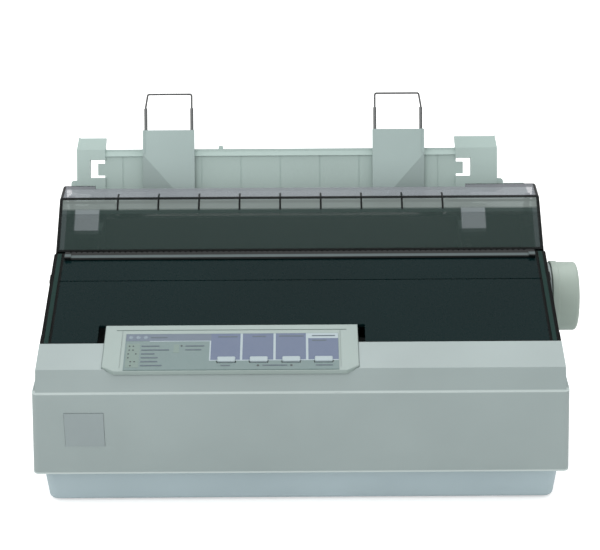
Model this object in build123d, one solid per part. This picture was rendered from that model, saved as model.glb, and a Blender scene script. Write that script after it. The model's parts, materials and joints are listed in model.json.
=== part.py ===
from build123d import *
import os
from math import atan2, ceil, cos, degrees, hypot, pi, radians, sin, sqrt, tan

# Dot matrix printer with smoked covers, sheet guide, tractor and platen knob.
# Millimetres.  X runs to the right, Y to the rear from the front crease of the case, and Z
# up from the surface that the feet rest on.  X = 0 is the middle of the case.

# ---------------------------------------------------------------- case
case_width = 366.0            # across the sides at the crease
case_depth = 273.0            # front crease to rear wall at crease height
crease_height = 94.0
skirt_bottom = 30.5           # lower edge of the upper case
skirt_flare = 3.0             # each side stands this much further out at the lower edge
front_flare = 1.0             # the same at the front and rear
case_corner = 4.0             # radius of the upright corners
shoulder_step = 2.5           # the case above the crease is this much narrower a side
case_wall = 2.5
band_run = 8.6                # chamfer band above the crease, front to back
band_rise = 14.2
slope = 12.5                  # tilt of the top strip, panel and front cover, degrees
deck_height = 138.0           # rear deck beside the sheet guide
deck_front = 196.0
deck_fall = 10.0              # the deck drops this much towards the rear
rim_width = 6.0               # inward rim that seats the upper case on the tray

tray_overhang = 5.5           # the skirt stands out past the tray by this
tray_taper = 2.5              # the tray is this much narrower a side at its bottom
tray_front_gap = 7.0          # the tray's front lies behind the skirt by this
tray_corner = 6.5
tray_edge = 3.0               # round of the bottom edge
foot_height = 2.0
foot_radius = 9.0
foot_inset = 45.0             # feet from the case's sides
foot_inset_depth = 26.0

# ---------------------------------------------------------------- covers
strip_length = 27.0           # top strip, band edge to the front cover, along the slope
cover_length = 98.6           # front cover along the slope
cover_side_step = 2.7         # the cover is this much narrower a side than the case
cover_thick = 2.5
cover_skirt = 12.0            # depth of the cover's side rails
cover_round = 1.2             # round of the long outer edges
cover_groove = 0.8            # width of the shallow grooves in the top face
cover_groove_depth = 0.4
cover_groove_inset = 6.4      # side grooves from the cover's sides
cover_seam_back = 32.0        # cross groove in front of the cover's rear edge
cover_gap = 0.4               # running gap between covers and case
cover_hinge_back = 4.6        # hinge axis behind the cover's front edge, along the slope
cover_hinge_drop = 5.4        # hinge axis under the cover's top face
knuckle_radius = 6.6          # the cover's side rails end in these rounds
hinge_pin_radius = 1.5
hinge_pin_clear = 0.08
bracket_ring = 2.5            # radius of the eyes round the hinge pins
bracket_relief = 0.5          # the legs' front faces lie this much behind the eyes
bracket_thick = 4.2
bracket_side_gap = 2.2
cover_bracket_height = 18.0   # leg of the eye, under the hinge axis
flap_bracket_height = 26.0
pin_length = 6.4
cover_tab_length = 9.0        # finger tabs on the side rails
cover_tab_height = 3.4
cover_tab_low = 1.6           # below the cover's top face
cover_tab_reach = 0.6
cover_tab_back = 22.0         # in front of the cover's rear edge

tear_bar_depth = 8.0
tear_bar_thick = 1.6
tear_bar_margin = 8.5         # the bar stops this far inside the cover's sides

flap_side_step = 3.5          # the flap is this much narrower a side than the case
flap_gap = 2.4                # paper exit between the tear bar and the flap
flap_stand = 23.0             # the flap's top stands this much over the rear deck
flap_slope_run = 40.0         # front edge to the flap's crease
flap_top_run = 22.0           # crease to the rear edge
flap_thick = 2.6
flap_round = 2.0              # round of the long outer edges
flap_notch = 5.5              # the rear edge is cut forward this much along its middle
flap_notch_side = 5.4         # the cut reaches this far past the sheet guide's panel
flap_bead = 1.2               # bead under the crease
flap_rib_count = 9
flap_rib_pitch = 30.8
flap_rib_thick = 1.2
flap_rib_depth = 3.0
flap_rib_run = 11.0
flap_hinge_inset = 4.7        # hinge axis in front of the rear edge
flap_hinge_drop = 8.6         # hinge axis under the top face

# ---------------------------------------------------------------- control panel
panel_width = 175.6
panel_centre = -47.8
panel_length = 47.9           # along the slope
panel_lip = 3.5               # the panel reaches this far in front of the band edge
panel_raise = 1.2
panel_seat = 1.6              # depth of the panel's seat in the strip
panel_skirt = 9.0
panel_wall = 2.0
panel_notch_side = 5.0        # gap between the panel and the front cover at each side
panel_notch_rear = 1.2
panel_ledge = 4.0
panel_corner = 8.6            # the lip's corners are cut off by this across
panel_corner_run = 5.0        # and by this along the slope
panel_groove = 0.8            # width of the grooves that frame the overlay
overlay_width = 147.0
overlay_centre = -47.2
overlay_length = 37.0
overlay_front = 1.2           # overlay's front edge behind the panel's front edge
overlay_thick = 0.4
button_count = 4
button_pitch = 22.2
button_first = -50.7
button_width = 12.4
button_depth = 5.2
button_back = 7.6             # button centres behind the band edge, along the slope
button_proud = 0.9            # above the overlay
button_travel = 1.0
button_clear = 0.35
button_flange = 1.0
board_drop = 8.0              # panel board under the slope plane
board_thick = 1.6
switch_top = 2.6              # small switches stand this far above the panel board
boss_radius = 2.5
lamp_count = 3
lamp_first = -117.2
lamp_pitch = 5.15
lamp_back = 30.5
lamp_radius = 1.5
badge_width = 27.0
badge_height = 26.0
badge_centre_x = -148.5
badge_centre_z = 66.0
badge_thick = 1.0
badge_recess = 0.6

# ---------------------------------------------------------------- paper path
paper_centre = -14.5          # middle of the paper path, left of the case's middle
plate_offset = 137.0          # inner faces of the side plates from the paper's middle
plate_thick = 2.0
plate_drop = 14.0             # upper edge under the rear deck
plate_rise = 25.0             # upper edge over the platen's axis
plate_bottom = 20.0
plate_front = 56.0
plate_rear_gap = 11.0         # to the rear of the case
plate_foot = 6.0              # bent feet of the plates

platen_y = 130.0
platen_z = 99.0
platen_radius = 17.0
platen_length = 262.0
platen_shaft_radius = 4.0
bearing_clear = 0.08
knob_radius = 26.2
knob_stand_off = 3.9          # the knob's inner face beyond the case's upper side
knob_width = 19.6
knob_rim = 5.0
knob_rim_proud = 0.8
knob_round = 2.5
knob_bore_hole = 6.0          # hole in the case around the shaft
knob_gap = 0.4                # between the case's collar and the knob
collar_radius = 22.0
collar_rim_radius = 24.6      # the collar's rim beside the knob

gear_module = 1.25
gear_width = 5.0
gear_gap = 1.6                # gears stand off the side plate
platen_teeth = 36
tractor_teeth = 32
small_teeth = 14
large_teeth = 40
pinion_teeth = 12
reduction_angle = -125.0      # directions from one gear centre to the next
pinion_angle = -110.0
stud_radius = 3.0
stud_length = 9.0

pinch_radius = 5.0
pinch_shaft_radius = 2.0
pinch_angle = -100.0
pinch_gap = 0.3
pinch_count = 4
pinch_width = 16.0
pinch_pitch = 60.0

motor_radius = 21.0
motor_length = 20.0
motor_shaft_radius = 2.0

# ---------------------------------------------------------------- carriage
shaft_y = 92.0
shaft_z = 80.0
shaft_radius = 4.0
carriage_width = 36.0
jaw_half = 6.5                # half width of the jaw that holds the belt
carriage_front = 63.0
carriage_rear = 104.0
carriage_bottom = 73.0
carriage_top = 88.0
head_width = 26.0
head_gap = 1.2                # nose to platen
nose_width = 12.0
nose_height = 9.0
ribbon_thick = 0.2
ribbon_height = 8.0
ribbon_gap = 0.45             # ribbon in front of the platen
rail_y = 60.0
rail_height = 74.0
belt_y = 76.0
belt_z = 66.0
belt_height = 7.6
belt_thick = 1.2
pulley_radius = 8.0
pulley_flange = 1.0
pulley_clear = 0.3
pulley_offset_left = 116.0    # pulley axes from the paper's middle
pulley_offset_right = 118.0
shelf_height = 58.0           # tabs of the side plates that carry motor and pulley
shelf_thick = 2.0
carriage_motor_height = 24.0
carriage_motor_radius = 19.0

cartridge_front = 43.0
cartridge_depth = 18.0
cartridge_bottom = 91.5
cartridge_height = 12.0
cartridge_arm_inner = 124.5   # arms' inner faces from the paper's middle
cartridge_arm_width = 9.0
cartridge_arm_rear = 111.4
ribbon_knob_radius = 8.0
ribbon_knob_height = 4.0
ribbon_knob_offset = 108.0

# ---------------------------------------------------------------- tractor
tractor_back = 31.0           # axis in front of the rear of the case
tractor_drop = 30.2           # axis under the rear deck
wheel_pin_count = 6
feed_pitch = 12.7             # pin spacing of fan-fold paper
pin_radius = 1.6
pin_height = 2.4
wheel_width = 6.0
tractor_shaft_radius = 3.5
tractor_bar_radius = 3.0
tractor_bar_back = 18.0
tractor_bar_drop = 4.0
block_offset = 117.0          # pin wheels from the paper's middle
block_wall = 2.6
block_gap = 0.7
block_front = 17.0
block_rear = 24.0
block_bottom = 10.0
lid_width = 14.0
lid_thick = 2.4
lid_gap = 0.4
lid_hinge_radius = 2.2
lid_pin_radius = 1.0
bay_offset = 134.0            # sides of the open bay from the paper's middle
bay_depth = 17.8              # floor of the bay under the tractor's axis
bay_front = 190.0
guide_sheet_thick = 1.2

# ---------------------------------------------------------------- sheet guide
guide_pivot_y = 206.0
guide_pivot_rise = 3.0        # pivot over the rear deck
guide_lean = 25.0             # backward lean at rest, degrees
guide_pivot_radius = 2.5
guide_panel_half = 134.8      # half width of the ribbed panel
guide_height = 42.0
guide_low = -7.5              # lower edge of the panel
guide_thick = 2.4
guide_rim = 5.4
guide_rim_proud = 1.4
guide_rim_lean = 2.2          # the rim's face leans back by this up to its top
guide_seam_width = 1.0        # shallow seams on the front face over the ribs
guide_seam_depth = 0.4
guide_bump = 2.4              # small tapered bump on the top edge
guide_bump_offset = 45.7      # its place left of the paper's middle
guide_rib_pitch = 30.2
guide_rib_depth = 2.2
guide_rib_width = 1.6
unit_left_width = 21.4        # end units outside the panel
unit_right_width = 31.5
unit_height = 50.8
unit_thick = 7.0
unit_bottom = 8.0
unit_bend = 9.0               # the top of each unit leans back over this height
unit_bend_depth = 2.6
unit_overhang = 1.2           # top corner over the panel's end
unit_window_width = 11.2
unit_window_height = 13.5
unit_window_low = 20.4
unit_tab_width = 5.4          # tab of the panel that reaches into the window
unit_tab_height = 9.3
unit_tab_low = 1.6            # above the window's lower edge
unit_front = 2.0              # the units stand this far in front of the panel
unit_root = 0.5               # and this far into its ends
unit_spike = 0.8              # small points at the outer top corners
ear_reach = 4.6
ear_height = 9.4
ear_low = 9.0
ear_round = 2.5
eye_radius = 6.0
eye_inner = 146.2             # bracket eye from the paper's middle
eye_outer = 153.0
lug_inner = 135.2
bracket_front = 30.0          # from the pivot forward and back
bracket_foot = 15.0           # depth of the foot on the side plate
bracket_foot_rise = 4.5       # over the side plate's upper edge
bracket_foot_thick = 4.0
bracket_block_near = 137.3    # upright block in front of each arm, from the paper's middle
bracket_block_far = 155.5
bracket_block_front = 34.0    # from the pivot forward
bracket_block_depth = 8.0
bracket_block_top = 14.0      # over the rear deck

edge_guide_width = 39.6
edge_guide_height = 56.4
edge_guide_low = 3.0
edge_guide_thick = 3.6
edge_guide_gap = 0.3
edge_guide_left = 105.3       # outer edges of the guides from the paper's middle
edge_guide_right = 110.2
facet_depth = 2.6             # sloping facet at the outer foot of each guide
facet_width = 31.0
facet_height = 35.0
lip_width = 1.6               # raised lip along the outer edge above the facet
lip_proud = 0.7
hook_inset = 9.0              # the hook over the panel is this much narrower a side
hook_rise = 4.0               # room over the panel's top edge for the bump
hook_thick = 1.6
hook_drop = 8.0               # the hook reaches this far down behind the panel's top
wire_inset = 2.5
wire_pitch = 35.2
wire_radius = 0.75
sleeve_radius = 1.3
sleeve_bore = 0.9
sleeve_top = 73.0
sleeve_low = 31.0
wire_top = 83.7
wire_low = 34.0
wire_slant = 1.7

# ---------------------------------------------------------------- electrics
floor_board_z = 34.0
post_radius = 3.5
main_board_left = -20.0
main_board_width = 138.0
board_rear_gap = 11.0         # boards to the rear of the case
board_length = 112.0
supply_left = -146.0
supply_width = 104.0
parallel_x = 82.0
serial_x = 18.0
inlet_x = -112.0
switch_y = 44.0
switch_z = 62.0
rocker_angle = 11.0
rocker_pin = 1.2              # round pins of the frame in the rocker's hole
rocker_pin_length = 2.3
release_back = 20.0           # lever's stud behind and under the platen's axis
release_drop = 24.0
release_stud = 2.5
screw_inset = 13.0            # rear corner screws from the case's sides and rear
screw_front_inset = 18.0
screw_radius = 1.6
screw_head_radius = 3.2

# ---------------------------------------------------------------- derived places
upper_half = case_width / 2 - shoulder_step
cover_width = case_width - 2 * cover_side_step
flap_width = case_width - 2 * flap_side_step
knob_inner_x = upper_half + knob_stand_off
tray_top = skirt_bottom
tray_half = case_width / 2 + skirt_flare - tray_overhang
band_top = crease_height + band_rise
cos_s = cos(radians(slope))
sin_s = sin(radians(slope))


def on_slope(u, w):
    """Y and Z of a point u along the sloped top from the band edge and w above it."""
    return (band_run + u * cos_s - w * sin_s, band_top + u * sin_s + w * cos_s)


cover_front = strip_length + cover_gap
cover_rear = cover_front + cover_length
cover_hinge = on_slope(cover_front + cover_hinge_back, -cover_hinge_drop)
cover_rear_y, cover_rear_z = on_slope(cover_rear, 0)
flap_front_y = cover_rear_y + flap_gap
flap_front_z = cover_rear_z + 0.5
flap_crease_y = flap_front_y + flap_slope_run
flap_crease_z = deck_height + flap_stand
flap_rise = flap_crease_z - flap_front_z
flap_rear_y = flap_crease_y + flap_top_run
flap_hinge = (flap_rear_y - flap_hinge_inset, flap_crease_z - flap_hinge_drop)
hinge_channel = hypot(cover_hinge_back, cover_hinge_drop) + cover_gap
wall_drop = cover_skirt + cover_gap   # side walls end this far under the slope plane
wall_knee = on_slope(cover_rear + flap_gap, -wall_drop)


panel_left = panel_centre - panel_width / 2
panel_right = panel_centre + panel_width / 2
panel_rear = panel_length - panel_lip
overlay_u = (overlay_front - panel_lip, overlay_front - panel_lip + overlay_length)


def wall_top(y):
    """Height of the case's side walls behind the front cover, up to the rear deck."""
    share = (y - wall_knee[0]) / (deck_front - wall_knee[0])
    return wall_knee[1] + share * (deck_height - wall_knee[1])


def pitch_radius(teeth):
    return gear_module * teeth / 2


def step(place, distance, angle):
    """The point at a distance and an angle from a (y, z) place."""
    turn = radians(angle)
    return (place[0] + distance * cos(turn), place[1] + distance * sin(turn))


def direction(start, end):
    """Angle of the line from one (y, z) place to another."""
    return degrees(atan2(end[1] - start[1], end[0] - start[0]))


platen_place = (platen_y, platen_z)
tractor_place = (case_depth - tractor_back, deck_height - tractor_drop)
plate_rear = case_depth - plate_rear_gap
plate_top = deck_height - plate_drop
bearing_top = platen_z + plate_rise
board_front = case_depth - board_rear_gap - board_length
bay_floor = tractor_place[1] - bay_depth
guide_pivot_z = deck_height + guide_pivot_rise

# Two equal idlers bridge the way from the platen to the tractor.  Their line runs beside the
# straight line between the two axes, just far enough below it for the gears to mesh.
train_length = hypot(tractor_place[0] - platen_y, tractor_place[1] - platen_z)
idler_teeth = ceil((train_length / pitch_radius(1) - platen_teeth - tractor_teeth) / 4)
front_link = pitch_radius(platen_teeth + idler_teeth)
middle_link = pitch_radius(2 * idler_teeth)
rear_link = pitch_radius(idler_teeth + tractor_teeth)
train_angle = direction(platen_place, tractor_place)
end_links = train_length - middle_link
front_run = (end_links + (front_link ** 2 - rear_link ** 2) / end_links) / 2
train_sag = sqrt(front_link ** 2 - front_run ** 2)
idler_front_place = step(step(platen_place, front_run, train_angle), train_sag, train_angle - 90)
idler_rear_place = step(idler_front_place, middle_link, train_angle)
idler_angle_front = direction(platen_place, idler_front_place)
tractor_angle = direction(idler_rear_place, tractor_place)
reduction_place = step(platen_place, pitch_radius(platen_teeth + small_teeth), reduction_angle)
pinion_place = step(reduction_place, pitch_radius(large_teeth + pinion_teeth), pinion_angle)
pinch_place = step(platen_place, platen_radius + pinch_radius + pinch_gap, pinch_angle)
release_place = (platen_y + release_back, platen_z - release_drop)
tractor_bar_place = (tractor_place[0] + tractor_bar_back, tractor_place[1] - tractor_bar_drop)
wheel_radius = wheel_pin_count * feed_pitch / (2 * pi)
pulley_x_left = paper_centre - pulley_offset_left
pulley_x_right = paper_centre + pulley_offset_right
pulley_low = belt_z - belt_height / 2 - 0.4 - pulley_flange
pulley_top = belt_z + belt_height / 2 + 0.4 + pulley_flange
head_low = carriage_top
head_high = carriage_top + 18.0
nose_tip = platen_y - platen_radius - head_gap
plate_left = paper_centre - plate_offset
plate_right = paper_centre + plate_offset
gear_left = plate_right + plate_thick + gear_gap
gear_right = gear_left + gear_width

# The model's origin is the middle of its bounding box on the floor: the knob reaches past
# the right side, and the skirt's lower edge stands out at the left, front and rear.
knob_end = knob_inner_x + knob_width
origin_x = (knob_end - case_width / 2 - skirt_flare) / 2
origin_y = case_depth / 2


def box(x0, x1, y0, y1, z0, z1):
    """A block between two corners."""
    middle = ((x0 + x1) / 2, (y0 + y1) / 2, (z0 + z1) / 2)
    return Pos(*middle) * Box(x1 - x0, y1 - y0, z1 - z0)


def rod_x(x0, x1, place, radius):
    """A round rod along X at a (y, z) place."""
    body = Rot(0, 90, 0) * Cylinder(radius, x1 - x0)
    return Pos((x0 + x1) / 2, place[0], place[1]) * body


def beside(side, near, far):
    """Ordered X ends of a span given by two distances from the paper's middle."""
    return sorted((paper_centre + side * near, paper_centre + side * far))


def rod_z(x, y, z0, z1, radius):
    """An upright round rod."""
    return Pos(x, y, (z0 + z1) / 2) * Cylinder(radius, z1 - z0)


def rod_y(x, z, y0, y1, radius):
    """A round rod along Y."""
    return Pos(x, (y0 + y1) / 2, z) * Rot(90, 0, 0) * Cylinder(radius, y1 - y0)


def prism_x(points, x0, x1):
    """A (y, z) outline carried along X."""
    outline = Polyline(*[(x0, y, z) for y, z in points], close=True)
    return extrude(make_face(outline), amount=x1 - x0, dir=(1, 0, 0))


def prism_z(points, z0, z1):
    """An (x, y) outline carried upwards."""
    outline = Polyline(*[(x, y, z0) for x, y in points], close=True)
    return extrude(make_face(outline), amount=z1 - z0, dir=(0, 0, 1))


def sloped(shape):
    """Carry a shape from slope coordinates (x, u, w) to its place on the case."""
    return Pos(0, band_run, band_top) * Rot(slope, 0, 0) * shape


def slope_box(x0, x1, u0, u1, w0, w1):
    return sloped(box(x0, x1, u0, u1, w0, w1))


def case_block(bottom_half, top_half, y_bottom, y_top, z0, z1, corner):
    """A tapered block with round upright corners."""
    faces = []
    for half, ys, z in ((bottom_half, y_bottom, z0), (top_half, y_top, z1)):
        middle = (ys[0] + ys[1]) / 2
        face = RectangleRounded(2 * half, ys[1] - ys[0], corner)
        faces.append(Pos(0, middle, z) * face)
    return loft(faces)


def both_sides(shape):
    """A shape and its mirror image across the middle of the case."""
    return [shape, mirror(shape, about=Plane.YZ)]


def hinge_bracket(place, outer_x, inner_x, foot_drop):
    """Right-hand bracket of the case: an eye round a hinge pin on a leg from the side wall."""
    y, z = place
    leg_front = y - bracket_ring + bracket_relief
    plate = box(inner_x, outer_x, leg_front, y + bracket_ring, z - foot_drop, z)
    eye = rod_x(inner_x, outer_x, place, bracket_ring)
    foot_top = z - foot_drop + bracket_ring
    foot = box(
        inner_x, upper_half - case_wall + 1, y - bracket_ring, y + bracket_ring,
        z - foot_drop, foot_top,
    )
    hole = rod_x(inner_x - 1, outer_x + 1, place, hinge_pin_radius + hinge_pin_clear)
    return plate + eye + foot - hole


def save(shapes, name):
    """Write one piece, moved to the model's origin."""
    solids = []
    for shape in shapes if isinstance(shapes, list) else [shapes]:
        solids.extend(shape.solids())
    moved = [Pos(-origin_x, -origin_y, 0) * solid for solid in solids]
    piece = moved[0] if len(moved) == 1 else Compound(children=moved)
    export_step(piece, f"parts/{name}.step")


# ---------------------------------------------------------------- case shells
def board_posts():
    """Posts of the tray under the two rear boards, as (x, y) places."""
    places = []
    for left, width in ((main_board_left, main_board_width), (supply_left, supply_width)):
        for x in (left + 6, left + width - 6):
            for y in (board_front + 6, board_front + board_length - 6):
                places.append((x, y))
    return places


def screw_places():
    """Corner screws that join the two cases."""
    places = []
    for inset, y in (
        (screw_front_inset, screw_front_inset), (screw_inset, case_depth - screw_inset),
    ):
        places += [(inset - case_width / 2, y), (case_width / 2 - inset, y)]
    return places


def foot_places():
    inset = case_width / 2 - foot_inset
    return [
        (x, y) for x in (-inset, inset)
        for y in (foot_inset_depth + tray_front_gap, case_depth - foot_inset_depth)
    ]


def make_lower_case():
    front = tray_front_gap
    rear = case_depth - tray_front_gap / 2
    outer = case_block(
        tray_half - tray_taper, tray_half, (front + tray_taper, rear - tray_taper),
        (front, rear), foot_height, tray_top, tray_corner,
    )
    outer = fillet(outer.edges().group_by(Axis.Z)[0], tray_edge)
    inner = case_block(
        tray_half - tray_taper - case_wall, tray_half - case_wall,
        (front + tray_taper + case_wall, rear - tray_taper - case_wall),
        (front + case_wall, rear - case_wall),
        foot_height + case_wall, tray_top + 0.01, tray_corner - case_wall,
    )
    tray = outer - inner
    floor = foot_height + case_wall / 2
    for x, y in board_posts():
        tray += rod_z(x, y, floor, floor_board_z, post_radius)
    for x, y in screw_places():
        tray += rod_z(x, y, floor, skirt_bottom, screw_head_radius + 2.6)
    for x in (plate_left - plate_thick / 2, plate_right + plate_thick / 2):
        for y in (plate_front + 12, plate_rear - 12):
            tray += box(x - 5, x + 5, y - 8, y + 8, floor, plate_bottom)
    for x, y in screw_places():
        tray -= rod_z(x, y, 0, skirt_bottom + 1, screw_radius)
        tray -= rod_z(x, y, 0, foot_height + 6, screw_head_radius + 0.3)
    return tray


def make_rubber_feet():
    return [rod_z(x, y, 0, foot_height, foot_radius) for x, y in foot_places()]


def make_case_screws():
    screws = []
    head_top = foot_height + 6
    for x, y in screw_places():
        head = rod_z(x, y, head_top - 2.2, head_top, screw_head_radius)
        head -= box(x - 2.2, x + 2.2, y - 0.4, y + 0.4, head_top - 2.3, head_top - 1.3)
        head -= box(x - 0.4, x + 0.4, y - 2.2, y + 2.2, head_top - 2.3, head_top - 1.3)
        screws.append(head + rod_z(x, y, head_top - 0.1, skirt_bottom + 9, screw_radius))
    return screws


def connector_openings():
    """Openings of the rear wall as (x, width, low, high)."""
    base = floor_board_z + board_thick
    return [
        (parallel_x, 61.0, base - 0.3, base + 15.4),
        (serial_x, 32.0, base - 0.3, base + 13.0),
        (inlet_x, 30.8, base - 0.3, base + 24.4),
    ]


def make_upper_case():
    half = case_width / 2
    skirt = case_block(
        half + skirt_flare, half, (-front_flare, case_depth + front_flare),
        (0, case_depth), skirt_bottom, crease_height, case_corner,
    )
    strip_end = on_slope(strip_length, 0)
    wall_start = on_slope(strip_length, -wall_drop)
    body = prism_x(
        [
            (0.4, crease_height - 1), (0.4, crease_height), (band_run, band_top), strip_end,
            wall_start, wall_knee, (deck_front, deck_height),
            (case_depth - 1.5, deck_height - deck_fall), (case_depth - 0.4, crease_height - 1),
        ],
        -upper_half, upper_half,
    )
    inner_skirt = case_block(
        half + skirt_flare - case_wall, half - case_wall,
        (case_wall - front_flare, case_depth + front_flare - case_wall),
        (case_wall, case_depth - case_wall),
        skirt_bottom - 0.01, crease_height - case_wall, case_corner - case_wall,
    )
    rim = case_block(
        half + skirt_flare - 1, half + skirt_flare - 1, (0, case_depth), (0, case_depth),
        skirt_bottom, skirt_bottom + case_wall, case_corner,
    )
    rim_hole = case_block(
        tray_half - rim_width, tray_half - rim_width,
        (tray_front_gap + rim_width, case_depth - tray_front_gap / 2 - rim_width),
        (tray_front_gap + rim_width, case_depth - tray_front_gap / 2 - rim_width),
        skirt_bottom - 1, skirt_bottom + case_wall + 1, 4,
    )
    inner_strip = on_slope(strip_length + 3, -case_wall)
    inner_band = (band_run + case_wall * 0.62, band_top - case_wall * 1.02)
    inner_half = upper_half - case_wall
    inner_body = prism_x(
        [
            (case_wall + 0.6, crease_height - 12), (case_wall + 0.6, crease_height - 1),
            inner_band, inner_strip, (inner_strip[0], deck_height + 40),
            (deck_front - case_wall, deck_height + 40),
            (deck_front - case_wall, deck_height - case_wall),
            (case_depth - 2 * case_wall, deck_height - deck_fall - case_wall),
            (case_depth - case_wall - 0.6, crease_height - 12),
        ],
        -inner_half, inner_half,
    )
    case = skirt + body - inner_skirt - inner_body
    case += rim - rim_hole
    # Open bay at the rear for the tractor and the paper.
    case -= box(
        paper_centre - bay_offset, paper_centre + bay_offset, bay_front, case_depth + 5,
        bay_floor, deck_height + 20,
    )
    case += box(
        paper_centre - bay_offset, paper_centre + bay_offset, bay_front + 12,
        case_depth - 1.0, bay_floor - case_wall, bay_floor,
    )
    # Notches in the deck round the brackets and lugs of the sheet guide.
    for side in (-1, 1):
        inner = paper_centre + side * (bay_offset - 1)
        outer = paper_centre + side * (eye_outer + 1.0)
        case -= box(
            min(inner, outer), max(inner, outer), bay_front, guide_pivot_y + unit_bottom + 3,
            plate_top - 1, deck_height + 20,
        )
    # Seat and opening for the control panel.
    seat = prism_z(panel_outline(0.2, strip_length + 6), -panel_seat, 8)
    seat += box(
        panel_left + panel_corner, panel_right - panel_corner, -panel_lip - 4, 0,
        -panel_seat, 8,
    )
    case -= sloped(seat)
    case -= slope_box(
        panel_left + panel_ledge, panel_right - panel_ledge, 2.4, strip_length + 6,
        -case_wall - 4, 1,
    )
    # Round channel that the front cover's edge turns in.
    case -= rod_x(-upper_half - 1, upper_half + 1, cover_hinge, hinge_channel)
    # Hinge brackets of the two covers.
    for place, skirt_inner, height in (
        (cover_hinge, cover_width / 2 - cover_thick, cover_bracket_height),
        (flap_hinge, flap_width / 2 - flap_thick, flap_bracket_height),
    ):
        outer = skirt_inner - bracket_side_gap
        case += both_sides(hinge_bracket(place, outer, outer - bracket_thick, height))
    # Screw bosses over the tray's corner screws.
    for x, y in screw_places():
        case += rod_z(x, y, skirt_bottom, skirt_bottom + 12, screw_head_radius + 2.6)
        case -= rod_z(x, y, skirt_bottom - 1, skirt_bottom + 10, screw_radius)
    # Holes of the knob's shaft, the connectors, the switch and the badge recess.
    collar_end = knob_inner_x - knob_gap
    case += rod_x(upper_half - case_wall, collar_end, platen_place, collar_radius)
    rim_start = cover_width / 2 + cover_tab_reach + cover_gap
    case += rod_x(rim_start, collar_end, platen_place, collar_rim_radius)
    case -= rod_x(case_width / 2 - 8, case_width / 2 + 4, platen_place, knob_bore_hole)
    for x, width, low, high in connector_openings():
        case -= box(
            x - width / 2, x + width / 2, case_depth - 4 * case_wall, case_depth + 5, low, high
        )
    case -= box(
        -case_width / 2 - 5, -case_width / 2 + 5, switch_y - 11.0, switch_y + 11.0,
        switch_z - 7.0, switch_z + 7.0,
    )
    case -= badge_block(badge_recess, 0.15)
    return case


def badge_block(depth, gap):
    """The badge's place on the leaning front face, cut to a depth and widened by a gap."""
    lean = degrees(atan2(front_flare, crease_height - skirt_bottom))
    face_y = -front_flare * (crease_height - badge_centre_z) / (crease_height - skirt_bottom)
    block = Box(badge_width + 2 * gap, 2 * depth, badge_height + 2 * gap)
    return Pos(badge_centre_x, face_y, badge_centre_z) * Rot(-lean, 0, 0) * block


def make_badge_plate():
    """A bare plate in the recess of the front face, proud by the rest of its thickness."""
    lean = degrees(atan2(front_flare, crease_height - skirt_bottom))
    face_y = -front_flare * (crease_height - badge_centre_z) / (crease_height - skirt_bottom)
    block = Pos(0, badge_recess - badge_thick / 2, 0) * Box(
        badge_width, badge_thick, badge_height
    )
    return Pos(badge_centre_x, face_y, badge_centre_z) * Rot(-lean, 0, 0) * block


# ---------------------------------------------------------------- covers
def make_front_cover():
    half = cover_width / 2
    shell = box(-half, half, cover_front, cover_rear, -cover_skirt, 0)
    edges = shell.edges().filter_by(Axis.Y).group_by(Axis.Z)[-1]
    shell = fillet(edges, cover_round)
    inner = half - cover_thick
    shell -= box(
        -inner, inner, cover_front - 1, cover_rear + 1, -cover_skirt - 1, -cover_thick
    )
    # Notch round the control panel.
    shell -= box(
        panel_left - panel_notch_side, panel_right + panel_notch_side, cover_front - 1,
        panel_rear + panel_notch_rear, -cover_skirt - 1, 1,
    )
    # Shallow grooves along both sides and one across.
    seam = cover_rear - cover_seam_back
    shell -= box(
        -half + cover_groove_inset, half - cover_groove_inset, seam, seam + cover_groove,
        -cover_groove_depth, 1,
    )
    for side in (-1, 1):
        groove_x = side * (half - cover_groove_inset)
        shell -= box(
            groove_x - cover_groove / 2, groove_x + cover_groove / 2, cover_front + 2,
            cover_rear - 2, -cover_groove_depth, 1,
        )
    # The side rails end in the knuckles' round under the hinge axis.
    shell -= box(
        -half - 1, half + 1, cover_front - 1, cover_front + cover_hinge_back,
        -cover_skirt - 1, -cover_hinge_drop,
    )
    # Finger tabs on the side rails.
    tab_rear = cover_rear - cover_tab_back
    for side in (-1, 1):
        root = side * (half - 1)
        tip = side * (half + cover_tab_reach)
        tab = box(
            min(root, tip), max(root, tip), tab_rear - cover_tab_length, tab_rear,
            -cover_tab_low - cover_tab_height, -cover_tab_low,
        )
        shell += fillet(tab.edges().filter_by(Axis.Z), 0.4 * (cover_tab_reach + 1))
    cover = sloped(shell)
    for side in (-1, 1):
        outer = side * half
        skirt_inner = side * (half - cover_thick)
        pin_end = side * (half - cover_thick - pin_length)
        knuckle = rod_x(min(outer, skirt_inner), max(outer, skirt_inner), cover_hinge,
                        knuckle_radius)
        knuckle -= slope_box(-half - 1, half + 1, 0, strip_length * 2, 0, 20)
        pin = rod_x(min(skirt_inner, pin_end), max(skirt_inner, pin_end), cover_hinge,
                    hinge_pin_radius)
        cover += knuckle + pin
    return cover


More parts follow.
